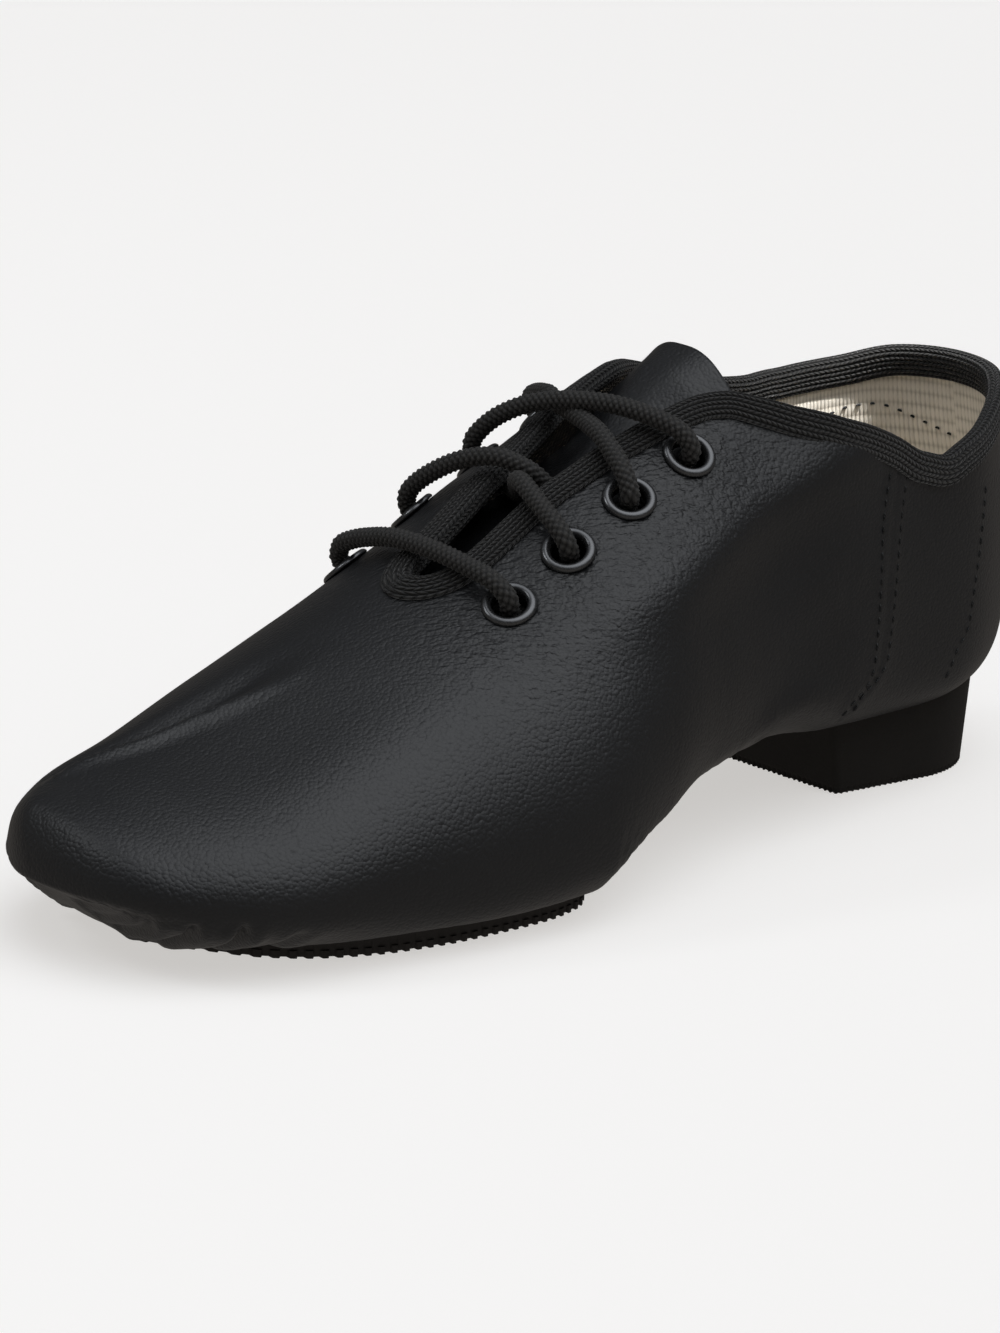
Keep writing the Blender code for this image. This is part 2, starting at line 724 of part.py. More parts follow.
def smooth_route(points, spacing):
    """Centripetal curve through the route's own points, read at an even spacing."""
    padded = np.vstack([2 * points[0] - points[1], points, 2 * points[-1] - points[-2]])
    fine = []
    for index in range(1, len(padded) - 2):
        before, start, stop, after = padded[index - 1:index + 3]
        for part in np.linspace(0, 1, 12, endpoint=False):
            fine.append(0.5 * (2 * start + (stop - before) * part
                               + (2 * before - 5 * start + 4 * stop - after) * part ** 2
                               + (3 * start - before - 3 * stop + after) * part ** 3))
    fine.append(padded[-2])
    fine = np.array(fine)
    lengths = np.concatenate([[0], np.cumsum(np.linalg.norm(np.diff(fine, axis=0), axis=1))])
    wanted = np.linspace(0, lengths[-1], int(lengths[-1] / spacing) + 1)
    return np.stack([np.interp(wanted, lengths, fine[:, axis]) for axis in range(3)], 1)


def lace_tube(name, route, group):
    """A round cord along a route, as a welded mesh."""
    points = np.array([over_skin(run_of(share), turn, height) for share, turn, height in route])
    path = smooth_route(points, 3.2 * MM)
    curve = bpy.data.curves.new(name, "CURVE")
    curve.dimensions = "3D"
    curve.bevel_depth = LACE_DIAMETER / 2
    curve.bevel_resolution = 2
    curve.use_fill_caps = True
    spline = curve.splines.new("POLY")
    spline.points.add(len(path) - 1)
    for point, place in zip(spline.points, path):
        point.co = (*place, 1)
    guide = bpy.data.objects.new(name + "_path", curve)
    group.objects.link(guide)
    bpy.context.view_layer.update()
    mesh = bpy.data.meshes.new_from_object(guide.evaluated_get(bpy.context.evaluated_depsgraph_get()))
    tube = bpy.data.objects.new(name, mesh)
    tube.matrix_world = guide.matrix_world
    group.objects.link(tube)
    bpy.data.objects.remove(guide, do_unlink=True)
    clean(tube)
    return tube


def make_laces(group, cutters):
    bar = lace_tube("lace_bar", LACE_BAR, group)
    pieces = [bar]
    for number, (over, under) in enumerate(((LACE_OVER_1, LACE_UNDER_1), (LACE_OVER_2, LACE_UNDER_2)), 1):
        crossing = lace_tube(f"lace_crossing_{number}", over, group)
        other = as_cutter(lace_tube(f"lace_under_{number}", under, cutters))
        add_boolean(crossing, other, "UNION")
        pieces.append(crossing)
    return pieces


def paint(items, name, colour, roughness, metallic=0.0):
    for item in items:
        material = bpy.data.materials.new(f"{name}_{item.name}")
        material.use_nodes = True
        shader = material.node_tree.nodes["Principled BSDF"]
        shader.inputs["Base Color"].default_value = (*colour, 1)
        shader.inputs["Roughness"].default_value = roughness
        shader.inputs["Metallic"].default_value = metallic
        item.data.materials.clear()
        item.data.materials.append(material)


def build():
    clear_scene()
    shoe = bpy.data.collections.new("jazz_shoe")
    tools = bpy.data.collections.new("cutters")
    for group in (shoe, tools):
        bpy.context.scene.collection.children.link(group)

    envelope = last_envelope(tools, SEAT_GAP)
    patch_window = inset_loop(patch_outline(48), LASTING_MARGIN)
    heel_window = heel_outline(-LASTING_MARGIN, -LASTING_MARGIN, 24)
    heel_inner = heel_outline(-LASTING_MARGIN - SEAT_GAP, -LASTING_MARGIN - SEAT_GAP, 24)
    windows = [
        as_cutter(prism("forefoot_window", patch_window, -1 * MM, SOLE_REST + 4 * MM, tools)),
        as_cutter(prism("heel_window", heel_window, HEEL_SEAT - 4 * MM, HEEL_SEAT + 6 * MM, tools)),
    ]
    forefoot_plug = as_cutter(prism("forefoot_plug", inset_loop(patch_window, SEAT_GAP),
                                    SOLE_REST / 2, SOLE_REST + WALL, tools))
    heel_plug = as_cutter(prism("heel_plug", heel_inner, HEEL_SEAT / 2, HEEL_SEAT + WALL, tools))

    upper = make_upper(shoe, windows + eyelet_cutters(tools))
    sole = make_forefoot_sole(shoe, envelope, forefoot_plug)
    heel = make_heel_block(shoe, envelope, heel_plug)
    insole = make_insole(shoe)
    tongue = make_tongue(shoe)
    binding = make_binding(shoe)
    eyelets = make_eyelets(shoe)
    laces = make_laces(shoe, tools)

    paint([upper, tongue], "black_leather", (0.018, 0.019, 0.021), 0.42)
    paint([sole, heel], "heel_rubber", (0.022, 0.018, 0.015), 0.7)
    paint([insole], "canvas_lining", (0.48, 0.43, 0.35), 0.9)
    paint([binding], "woven_tape", (0.012, 0.012, 0.012), 0.8)
    paint(laces, "braided_lace", (0.010, 0.010, 0.010), 0.85)
    paint(eyelets, "gunmetal", (0.06, 0.06, 0.065), 0.35, 0.9)


build()
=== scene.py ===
import math

import bmesh
import bpy
import numpy as np
from mathutils import Matrix, Vector


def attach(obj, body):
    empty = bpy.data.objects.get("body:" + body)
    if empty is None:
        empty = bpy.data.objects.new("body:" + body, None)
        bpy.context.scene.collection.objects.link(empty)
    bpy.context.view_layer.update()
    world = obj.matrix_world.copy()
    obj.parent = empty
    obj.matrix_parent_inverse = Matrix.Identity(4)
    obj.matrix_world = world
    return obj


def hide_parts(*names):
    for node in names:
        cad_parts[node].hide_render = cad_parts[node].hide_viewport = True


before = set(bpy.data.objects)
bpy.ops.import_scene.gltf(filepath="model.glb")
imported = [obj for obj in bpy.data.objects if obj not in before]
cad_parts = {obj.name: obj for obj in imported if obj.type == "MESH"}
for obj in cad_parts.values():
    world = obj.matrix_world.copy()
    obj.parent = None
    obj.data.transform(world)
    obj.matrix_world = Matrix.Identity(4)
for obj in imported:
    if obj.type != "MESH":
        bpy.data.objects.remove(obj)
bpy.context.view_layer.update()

mm = 0.001


# Camera at the photograph's angle
cameraValues = {
    "azimuth": 47.47,
    "elevation": 16.08,
    "roll": 1.79,
    "distance": 0.7085,
    "target": (0.0033, -0.02093, 0.04039),
    "lens": 97.44,
}


def addCamera(values):
    azimuth = math.radians(values["azimuth"])
    elevation = math.radians(values["elevation"])
    roll = math.radians(values["roll"])
    back = Vector((
        math.sin(azimuth) * math.cos(elevation),
        -math.cos(azimuth) * math.cos(elevation),
        math.sin(elevation),
    ))
    level = Vector((math.cos(azimuth), math.sin(azimuth), 0))
    raised = back.cross(level)
    right = level * math.cos(roll) + raised * math.sin(roll)
    up = raised * math.cos(roll) - level * math.sin(roll)
    place = Vector(values["target"]) + back * values["distance"]
    data = bpy.data.cameras.new("photoCamera")
    data.sensor_fit = "AUTO"
    data.sensor_width = 36
    data.lens = values["lens"]
    camera = bpy.data.objects.new("photoCamera", data)
    camera.matrix_world = Matrix.Translation(place) @ Matrix((right, up, back)).transposed().to_4x4()
    bpy.context.scene.collection.objects.link(camera)
    bpy.context.scene.camera = camera


addCamera(cameraValues)
bpy.context.scene.view_settings.view_transform = "Standard"
print("camera placed")


# The last: the same driving sizes and sections as the solids
last = {
    "length": 250.0 * mm,
    "ballWidth": 93.6 * mm,
    "instepHeight": 96.3 * mm,
    "heelSeat": 16.3 * mm,
    "toeSpring": 12.6 * mm,
    "heelCurve": 16.0 * mm,
    "backHeight": 70.7 * mm,
    "soleRest": 3.2 * mm,
    "backStart": 0.62,
    "throatStart": 0.340,
    "throatRound": 0.030,
    "throatMiddle": 85.0,
}

sectionColumns = ("share", "lateral", "medial", "spine", "toe", "arch", "belly", "crown", "low", "high")
sections = np.array((
    (0.000, -0.080, 0.080, -0.080, 1.000, 0.000, 0.000, 0.000, 2.3, 2.00),
    (0.015, 0.138, 0.217, -0.130, 0.800, 0.000, 0.030, 0.138, 2.2, 2.00),
    (0.060, 0.281, 0.346, -0.130, 0.180, 0.000, 0.102, 0.264, 2.4, 2.00),
    (0.130, 0.382, 0.425, -0.113, 0.060, 0.000, 0.114, 0.328, 2.9, 2.00),
    (0.220, 0.436, 0.477, -0.095, 0.015, 0.000, 0.136, 0.433, 3.5, 2.00),
    (0.300, 0.475, 0.500, -0.081, 0.000, 0.000, 0.144, 0.532, 3.8, 2.00),
    (0.380, 0.500, 0.486, -0.071, 0.000, 0.000, 0.151, 0.644, 3.8, 2.07),
    (0.460, 0.467, 0.444, -0.055, 0.000, 0.100, 0.174, 0.757, 3.0, 2.24),
    (0.540, 0.398, 0.401, -0.049, 0.000, 0.458, 0.171, 0.813, 2.6, 2.43),
    (0.620, 0.348, 0.368, -0.047, 0.000, 0.794, 0.170, 0.861, 2.6, 2.51),
    (0.700, 0.340, 0.354, -0.040, 0.000, 0.969, 0.188, 0.967, 3.2, 2.52),
    (0.780, 0.312, 0.347, -0.038, 0.000, 1.000, 0.215, 1.129, 4.2, 2.50),
    (0.860, 0.298, 0.339, -0.038, 0.000, 1.000, 0.225, 1.285, 4.4, 2.60),
    (0.930, 0.234, 0.290, -0.034, 0.000, 1.000, 0.225, 1.388, 4.4, 2.60),
    (0.980, 0.133, 0.189, -0.030, 0.000, 1.000, 0.225, 1.440, 4.4, 2.60),
    (1.000, -0.028, 0.028, -0.028, 0.000, 1.000, 0.225, 1.440, 4.4, 2.60),
))

# Back of the heel: height above the seat and inset, as shares
backRows = np.array((
    (-0.09, 1.000), (0.00, 0.810), (0.08, 0.375), (0.19, 0.094), (0.31, 0.000), (0.48, 0.050),
    (0.62, 0.163), (0.76, 0.313), (0.90, 0.438), (1.04, 0.531), (2.05, 0.750),
))

# Top edge of the upper: share along, degrees around on the lateral and on the medial side
rimRows = np.array((
    (0.300, 78.5, 88.5), (0.352, 78.5, 88.8), (0.430, 79.2, 92.0), (0.490, 78.3, 96.3),
    (0.530, 75.6, 101.0), (0.556, 73.6, 105.0), (0.583, 71.0, 109.5), (0.610, 65.5, 114.0),
    (0.633, 57.3, 121.0), (0.659, 48.3, 129.5), (0.690, 40.0, 138.5), (0.727, 32.0, 146.5),
    (0.760, 25.5, 152.0), (0.800, 19.0, 157.0), (0.840, 15.7, 160.3), (0.880, 15.9, 161.7),
    (0.940, 17.0, 162.4), (1.000, 18.6, 161.4),
))

# Eyelets: share along, degrees around on each side
eyeletRows = ((0.367, 62.0, 125.0), (0.425, 62.5, 121.5), (0.488, 62.0, 120.5), (0.552, 59.0, 121.5))


def smoothColumn(places, values, wanted):
    wanted = np.clip(np.asarray(wanted, float), places[0], places[-1])
    steps = np.diff(places)
    slopes = np.diff(values) / steps
    tangents = np.zeros_like(values)
    for index in range(1, len(values) - 1):
        before, after = slopes[index - 1], slopes[index]
        if before * after > 0:
            first = 2 * steps[index] + steps[index - 1]
            second = steps[index] + 2 * steps[index - 1]
            tangents[index] = (first + second) / (first / before + second / after)
    tangents[0], tangents[-1] = slopes[0], slopes[-1]
    spot = np.clip(np.searchsorted(places, wanted, side="right") - 1, 0, len(steps) - 1)
    width = steps[spot]
    part = (wanted - places[spot]) / width
    return (
        (1 + 2 * part) * (1 - part) ** 2 * values[spot]
        + part * (1 - part) ** 2 * width * tangents[spot]
        + part ** 2 * (3 - 2 * part) * values[spot + 1]
        + part ** 2 * (part - 1) * width * tangents[spot + 1]
    )


def runOf(share):
    return np.arccos(1 - 2 * np.clip(share, 0, 1)) / math.pi


def shareOf(run):
    return (1 - np.cos(math.pi * np.asarray(run, float))) / 2


def column(name, run):
    return smoothColumn(runOf(sections[:, 0]), sections[:, sectionColumns.index(name)], run)


def heelInset(height):
    share = (height - last["heelSeat"]) / last["backHeight"]
    return last["heelCurve"] * smoothColumn(backRows[:, 0], backRows[:, 1], share)


def bottomOf(run):
    rise = last["heelSeat"] - last["soleRest"]
    return last["soleRest"] + last["toeSpring"] * column("toe", run) + rise * column("arch", run)


# Outer face of the upper at a place along and degrees around
def skin(run, turn):
    run, turn = np.broadcast_arrays(np.asarray(run, float), np.asarray(turn, float))
    turn = np.where(run > 1, 180 - turn, turn)
    run = np.where(run > 1, 2 - run, run)
    turn = (turn + 90) % 360 - 90
    lateral = turn < 90
    angle = np.radians(np.where(lateral, turn, 180 - turn))
    share = shareOf(run)
    bottom = bottomOf(run)
    belly = bottom + last["instepHeight"] * column("belly", run)
    crown = bottom + last["instepHeight"] * column("crown", run)
    spine = last["ballWidth"] * column("spine", run)
    edge = last["ballWidth"] * np.where(lateral, column("lateral", run), -column("medial", run))
    under = angle < 0
    power = np.where(under, 2 / column("low", run), 2 / column("high", run))
    across = spine + (edge - spine) * np.abs(np.cos(angle)) ** power
    reach = np.where(under, bottom - belly, crown - belly)
    height = belly + reach * np.abs(np.sin(angle)) ** power
    fade = np.clip((share - last["backStart"]) / (1 - last["backStart"]), 0, 1) ** 2
    along = last["length"] * (share - 0.5) - heelInset(height) * fade
    return np.stack([across, along, height], axis=-1)


def unit(vectors):
    return vectors / np.maximum(np.linalg.norm(vectors, axis=-1, keepdims=True), 1e-12)


# Distance travelled up to each point of a row
def travelled(points):
    return np.concatenate([[0], np.cumsum(np.linalg.norm(np.diff(points, axis=0), axis=1))])


# A smooth curve through the points, with a point at each spacing
def smoothRoute(points, spacing):
    padded = np.vstack([2 * points[0] - points[1], points, 2 * points[-1] - points[-2]])
    fine = []
    for index in range(1, len(padded) - 2):
        a, b, c, d = padded[index - 1:index + 3]
        for part in np.linspace(0, 1, 24, endpoint=False):
            fine.append(0.5 * (2 * b + (c - a) * part + (2 * a - 5 * b + 4 * c - d) * part ** 2
                               + (3 * b - a - 3 * c + d) * part ** 3))
    fine.append(padded[-2])
    fine = np.array(fine)
    lengths = travelled(fine)
    wanted = np.linspace(0, lengths[-1], int(lengths[-1] / spacing) + 1)
    return np.stack([np.interp(wanted, lengths, axis) for axis in fine.T], 1), wanted


def outward(run, turn):
    run = np.maximum(np.asarray(run, float), 0.006)
    turn = np.asarray(turn, float)
    turn = np.where((turn + 90) % 180 < 0.5, turn + 0.5, turn)
    forward = skin(run + 0.002, turn) - skin(run - 0.002, turn)
    around = skin(run, turn + 0.8) - skin(run, turn - 0.8)
    return unit(np.cross(forward, around))


def overSkin(run, turn, height):
    return skin(run, turn) + outward(run, turn) * np.asarray(height, float)[..., None]


def rim(run):
    share = shareOf(run)
    lateral = smoothColumn(rimRows[:, 0], rimRows[:, 1], share)
    medial = smoothColumn(rimRows[:, 0], rimRows[:, 2], share)
    into = np.clip((share - last["throatStart"]) / last["throatRound"], 0, 1)
    opened = np.sqrt(1 - (1 - into) ** 2)
    middle = last["throatMiddle"]
    return middle + (lateral - middle) * opened, middle + (medial - middle) * opened


# Walk over the skin from places in directions, in short steps
def slide(run, turn, direction, distance):
    run, turn = np.array(run, float), np.array(turn, float)
    distance = np.broadcast_to(distance, run.shape)
    pace = 5
    for _ in range(pace):
        ahead = (skin(run + 0.002, turn) - skin(run - 0.002, turn)) / 0.004
        around = skin(run, turn + 0.5) - skin(run, turn - 0.5)
        move = direction * distance[..., None] / pace
        aa, bb = (ahead * ahead).sum(-1), (around * around).sum(-1)
        ab = (ahead * around).sum(-1)
        am, bm = (ahead * move).sum(-1), (around * move).sum(-1)
        size = np.maximum(aa * bb - ab * ab, 1e-18)
        run = run + (am * bb - bm * ab) / size
        turn = turn + (bm * aa - am * ab) / size
    return run, turn


# Height of the skin's underside at places across and along, in front of the heel
def undersideAt(across, along):
    run = runOf(along / last["length"] + 0.5)
    bottom = bottomOf(run)
    belly = bottom + last["instepHeight"] * column("belly", run)
    spine = last["ballWidth"] * column("spine", run)
    edge = last["ballWidth"] * np.where(across > spine, column("lateral", run), -column("medial", run))
    power = 2 / column("low", run)
    reach = np.clip((across - spine) / (edge - spine), 0, 1) ** (1 / power)
    return belly - (belly - bottom) * np.sqrt(np.clip(1 - reach ** 2, 0, 1)) ** power


def inwardOf(loop):
    tangent = unit(np.roll(loop, -1, axis=0) - np.roll(loop, 1, axis=0))
    return np.stack([-tangent[:, 1], tangent[:, 0]], 1)


# Outline of the forefoot patch: share along, lateral and medial as shares of the ball width
patchRows = np.array((
    (0.084, -0.060, 0.060), (0.108, 0.083, 0.200), (0.134, 0.186, 0.278), (0.174, 0.274, 0.327),
    (0.222, 0.332, 0.355), (0.281, 0.366, 0.370), (0.352, 0.380, 0.366), (0.392, 0.363, 0.345),
    (0.424, 0.288, 0.276), (0.444, 0.000, 0.000),
))


# Mesh helpers
shoe = bpy.data.collections.new("jazzShoe")
bpy.context.scene.collection.children.link(shoe)


def meshPiece(name, points, faces):
    mesh = bpy.data.meshes.new(name)
    mesh.from_pydata(np.asarray(points, float).reshape(-1, 3).tolist(), [], faces)
    piece = bpy.data.objects.new(name, mesh)
    shoe.objects.link(piece)
    return piece


def gridFaces(rows, columns, start=0):
    corner = (start + np.arange(rows - 1)[:, None] * columns + np.arange(columns - 1)[None, :]).ravel()
    return np.stack([corner, corner + columns, corner + columns + 1, corner + 1], 1).tolist()


def faceOut(form):
    bmesh.ops.recalc_face_normals(form, faces=form.faces)
    if form.calc_volume(signed=True) < 0:
        bmesh.ops.reverse_faces(form, faces=form.faces)


def tidyMesh(piece, distance=0.00002):
    form = bmesh.new()
    form.from_mesh(piece.data)
    bmesh.ops.remove_doubles(form, verts=form.verts, dist=distance)
    bmesh.ops.dissolve_degenerate(form, edges=form.edges, dist=distance / 2)
    faceOut(form)
    form.to_mesh(piece.data)
    form.free()
    piece.data.shade_smooth()
    return piece


def ringFaces(rows, count, closedAlong):
    step = np.arange(count)
    ahead = (step + 1) % count
    faces = []
    for row in range(rows if closedAlong else rows - 1):
        here, there = row * count, (row + 1) % rows * count
        faces += np.stack([here + step, here + ahead, there + ahead, there + step], 1).tolist()
    return faces


# Rings of equal count joined into one closed body
def loftPiece(name, rings, closedAlong=False):
    rings = np.asarray(rings, float)
    rows, count = rings.shape[:2]
    faces = ringFaces(rows, count, closedAlong)
    if not closedAlong:
        faces.append(list(range(count)))
        faces.append(list(range((rows - 1) * count, rows * count)))
    return tidyMesh(meshPiece(name, rings, faces))


# Map of unrolled lengths in metres, for weaves and fine wrinkles
def writeMap(piece, values):
    layer = piece.data.uv_layers.new(name="flat")
    corners = np.empty(len(piece.data.loops), int)
    piece.data.loops.foreach_get("vertex_index", corners)
    layer.uv.foreach_set("vector", values[corners].astype(np.float32).ravel())


# The same with lengths along and around in the map
def loftPieceWithMap(name, rings, along, around, closedAlong=True):
    rows, count = rings.shape[:2]
    piece = meshPiece(name, rings, ringFaces(rows, count, closedAlong))
    writeMap(piece, np.stack([np.repeat(along, count), np.tile(around, rows)], 1))
    form = bmesh.new()
    form.from_mesh(piece.data)
    if not closedAlong:
        bmesh.ops.holes_fill(form, edges=[edge for edge in form.edges if edge.is_boundary], sides=0)
    faceOut(form)
    form.to_mesh(piece.data)
    form.free()
    piece.data.shade_smooth()
    return piece


def applyModifiers(piece):
    graph = bpy.context.evaluated_depsgraph_get()
    graph.update()
    mesh = bpy.data.meshes.new_from_object(piece.evaluated_get(graph))
    piece.modifiers.clear()
    piece.data = mesh
    return piece


def addWall(piece, thickness):
    modifier = piece.modifiers.new("wall", "SOLIDIFY")
    modifier.thickness = thickness
    modifier.offset = -1
    modifier.use_rim = True
    return applyModifiers(piece)


def faceTowards(piece, wanted):
    total = sum((face.normal * face.area for face in piece.data.polygons), Vector())
    if total.dot(Vector(wanted)) < 0:
        piece.data.flip_normals()


def carve(piece, cutter):
    modifier = piece.modifiers.new("carve", "BOOLEAN")
    modifier.operation = "DIFFERENCE"
    modifier.solver = "EXACT"
    modifier.object = cutter
    applyModifiers(piece)
    bpy.data.objects.remove(cutter, do_unlink=True)
    return piece


# Edges sharper than an angle stay crisp under smooth shading
def keepCrisp(piece, degrees=35):
    form = bmesh.new()
    form.from_mesh(piece.data)
    for edge in form.edges:
        if len(edge.link_faces) == 2:
            edge.smooth = edge.calc_face_angle(0) < math.radians(degrees)
    form.to_mesh(piece.data)
    form.free()


def setPiece(piece, material, slot, *nodes):
    piece.data.materials.clear()
    piece.data.materials.append(material)
    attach(piece, "root")
    if nodes:
        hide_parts(*nodes)
    return piece


# Materials: a socket with plain arithmetic, and a maker of nodes
class Mask:
    def __init__(self, maker, socket):
        self.maker, self.socket = maker, socket

    def __add__(self, other):
        return self.maker.maths("ADD", self, other)

    def __radd__(self, other):
        return self.maker.maths("ADD", other, self)

    def __sub__(self, other):
        return self.maker.maths("SUBTRACT", self, other)

    def __rsub__(self, other):
        return self.maker.maths("SUBTRACT", other, self)

    def __mul__(self, other):
        return self.maker.maths("MULTIPLY", self, other)

    def __rmul__(self, other):
        return self.maker.maths("MULTIPLY", other, self)

    def __truediv__(self, other):
        return self.maker.maths("DIVIDE", self, other)

    def __pow__(self, other):
        return self.maker.maths("POWER", self, other)


class Finish:
    def __init__(self, name, **constants):
        self.material = bpy.data.materials.new(name)
        self.material.use_nodes = True
        self.tree = self.material.node_tree
        self.shader = self.tree.nodes["Principled BSDF"]
        for socket, value in constants.items():
            self.shader.inputs[socket.replace("_", " ")].default_value = value

    def feed(self, socket, value):
        if isinstance(value, Mask):
            self.tree.links.new(value.socket, socket)
        elif isinstance(value, tuple) and len(value) == 3 and socket.type == "RGBA":
            socket.default_value = (*value, 1)
        else:
            socket.default_value = value

    def node(self, kind, settings=None, values=None, out=0):
        made = self.tree.nodes.new("ShaderNode" + kind)
        for key, value in (settings or {}).items():
            if key == "stops":
                stops = made.color_ramp.elements
                while len(stops) < len(value):
                    stops.new(0.5)
                for stop, (place, shade) in zip(stops, value):
                    stop.position = place
                    stop.color = (shade, shade, shade, 1) if isinstance(shade, (int, float)) else (*shade, 1)
            else:
                setattr(made, key, value)
        for key, value in (values or {}).items():
            self.feed(made.inputs[key], value)
        return Mask(self, made.outputs[out])

    def maths(self, operation, first, second=0.0):
        return self.node("Math", {"operation": operation}, {0: first, 1: second})

    def blend(self, factor, first, second):
        return self.node("Mix", {"data_type": "RGBA"}, {0: factor, 6: first, 7: second}, 2)

    def places(self, stretch=(1, 1, 1), turn=(0, 0, 0)):
        spot = self.node("TexCoord", out=3)
        return self.node("Mapping", None, {"Vector": spot, "Scale": stretch, "Rotation": turn})

    def flat(self, stretch=(1, 1, 1)):
        spot = self.node("UVMap", {"uv_map": "flat"})
        return self.node("Mapping", None, {"Vector": spot, "Scale": stretch})

    def noise(self, where, scale, detail=3.0, rough=0.5, distortion=0.0):
        return self.node("TexNoise", None, {
            "Vector": where, "Scale": scale, "Detail": detail, "Roughness": rough, "Distortion": distortion,
        })

    def cells(self, where, scale, feature="F1", spread=1.0):
        values = {"Vector": where, "Scale": scale, "Randomness": spread}
        return self.node("TexVoronoi", {"feature": feature}, values)

    def ramp(self, factor, stops):
        return self.node("ValToRGB", {"stops": stops}, {0: factor})

    def bump(self, height, distance, strength=1.0, under=None):
        values = {"Height": height, "Distance": distance, "Strength": strength}
        if under is not None:
            values["Normal"] = under
        return self.node("Bump", None, values)

    def use(self, **links):
        for socket, value in links.items():
            self.feed(self.shader.inputs[socket.replace("_", " ")], value)
        return self.material


leatherValues = {
    "dark": (0.0052, 0.0054, 0.0060),
    "light": (0.0082, 0.0086, 0.0096),
    "pebble": 1350.0,
    "pebbleDepth": 0.00016,
    "wrinkle": (430.0, 1250.0, 1.0),
    "wrinkleTurn": 0.57,
    "wrinkleDepth": 0.00020,
    "roughness": 0.42,
}


def leatherFinish(values):
    finish = Finish("softBlackLeather", Specular_IOR_Level=0.5, Coat_Roughness=0.32, Sheen_Weight=0.0)
    where = finish.places()
    warp = finish.node("VectorMath", {"operation": "MULTIPLY_ADD"}, {
        0: finish.node("TexNoise", None, {"Vector": where, "Scale": 420.0, "Detail": 2.0}, 1),
        1: (0.0003, 0.0003, 0.0003),
        2: where,
    })
    pebbles = finish.cells(warp, values["pebble"])
    creases = finish.cells(warp, values["pebble"] * 0.62, "DISTANCE_TO_EDGE")
    fine = finish.noise(where, 2600.0, 2.0, 0.6)
    broad = finish.noise(where, 38.0, 3.0, 0.55)
    tight = finish.node("Attribute", {"attribute_name": "tight"}, None, 2)
    strokes = finish.node("UVMap", {"uv_map": "flat"})
    drawn = finish.node("Mapping", None, {"Vector": strokes, "Rotation": (0, 0, values["wrinkleTurn"])})
    long = finish.node("Mapping", None, {"Vector": drawn, "Scale": values["wrinkle"]})
    wrinkles = finish.noise(long, 1.0, 1.5, 0.45, 0.6)
    ridged = finish.ramp(wrinkles, ((0.28, 0.0), (0.72, 1.0)))
    grain = (1 - pebbles * pebbles) * 0.8 + finish.ramp(creases, ((0.0, 0.0), (0.3, 1.0))) * 0.15 + fine * 0.1
    level = finish.bump(grain, values["pebbleDepth"], 0.75)
    level = finish.bump(ridged * tight, values["wrinkleDepth"], 1.0, level)
    tone = finish.blend(broad, values["dark"], values["light"])
    rough = values["roughness"] - 0.05 + broad * 0.1 + (1 - grain) * 0.05
    return finish.use(Base_Color=tone, Roughness=rough, Normal=level)


leather = leatherFinish(leatherValues)


# Threads of the canvas in a metre; a faced canvas is black where the facing covers it
canvasThreads = 1050.0


def canvasFinish(name, light, dark, faced=False):
    finish = Finish(name, Roughness=0.9, Specular_IOR_Level=0.2)
    along = finish.node("SeparateXYZ", None, {0: finish.flat((canvasThreads, canvasThreads, 1.0))})
    around = Mask(finish, along.socket.node.outputs[1])
    warp = finish.maths("ABSOLUTE", finish.maths("SINE", along * math.pi))
    weft = finish.maths("ABSOLUTE", finish.maths("SINE", around * math.pi))
    slubs = finish.noise(finish.flat((900.0, 120.0, 1.0)), 1.0, 3.0, 0.6)
    spots = finish.noise(finish.places(), 60.0, 4.0, 0.6)
    height = warp * 0.5 + weft * 0.5 + slubs * 0.35
    shade = finish.ramp(height, ((0.35, 0.0), (0.95, 1.0)))
    tone = finish.blend(shade, dark, light)
    soiled = finish.blend(finish.ramp(spots, ((0.35, 0.0), (0.75, 0.35))), tone, dark)
    if faced:
        facing = finish.node("Attribute", {"attribute_name": "tight"}, None, 2)
        soiled = finish.blend(facing, soiled, (0.010, 0.010, 0.010))
    return finish.use(Base_Color=soiled, Normal=finish.bump(height, 0.00025, 0.8))


canvas = canvasFinish("beigeCanvas", (0.84, 0.78, 0.68), (0.50, 0.45, 0.37), faced=True)


# Knit of the tape: width of a rib and length of a stitch
tapeKnit = {"rib": 1.02 * mm, "stitch": 1.25 * mm, "depth": 0.45 * mm}


def tapeFinish(values):
    finish = Finish("wovenTape", Specular_IOR_Level=0.35, Sheen_Weight=0.12, Sheen_Roughness=0.4)
    along = finish.node("SeparateXYZ", None, {0: finish.flat((1 / values["stitch"], 1 / values["rib"], 1.0))})
    ribs = Mask(finish, along.socket.node.outputs[1])
    lean = finish.maths("ABSOLUTE", finish.maths("FLOORED_MODULO", ribs, 2.0) - 1)
    wander = finish.noise(finish.places(), 420.0, 2.0, 0.5)
    stitch = finish.maths("ABSOLUTE", finish.maths("SINE", (along + lean + wander * 0.5) * math.pi))
    cord = finish.maths("ABSOLUTE", finish.maths("SINE", ribs * math.pi))
    yarn = finish.noise(finish.flat((900.0, 3600.0, 1.0)), 1.0, 2.0, 0.6)
    fuzz = finish.noise(finish.places(), 3800.0, 2.0, 0.6)
    knit = stitch * cord
    # The knit height also paints the colour: grooves are painted darker as painted shade and ridges lighter
    # as painted highlight; only the yarn noise is the tape's own variation.
    shade = finish.ramp(knit * 0.8 + yarn * 0.3, ((0.25, 0.0), (0.95, 1.0)))
    tone = finish.blend(shade, (0.0016, 0.0014, 0.0012), (0.026, 0.0245, 0.0225))
    level = finish.bump(knit + yarn * 0.25 + fuzz * 0.15, values["depth"], 0.9)
    return finish.use(Base_Color=tone, Roughness=0.62 + fuzz * 0.2, Normal=level)


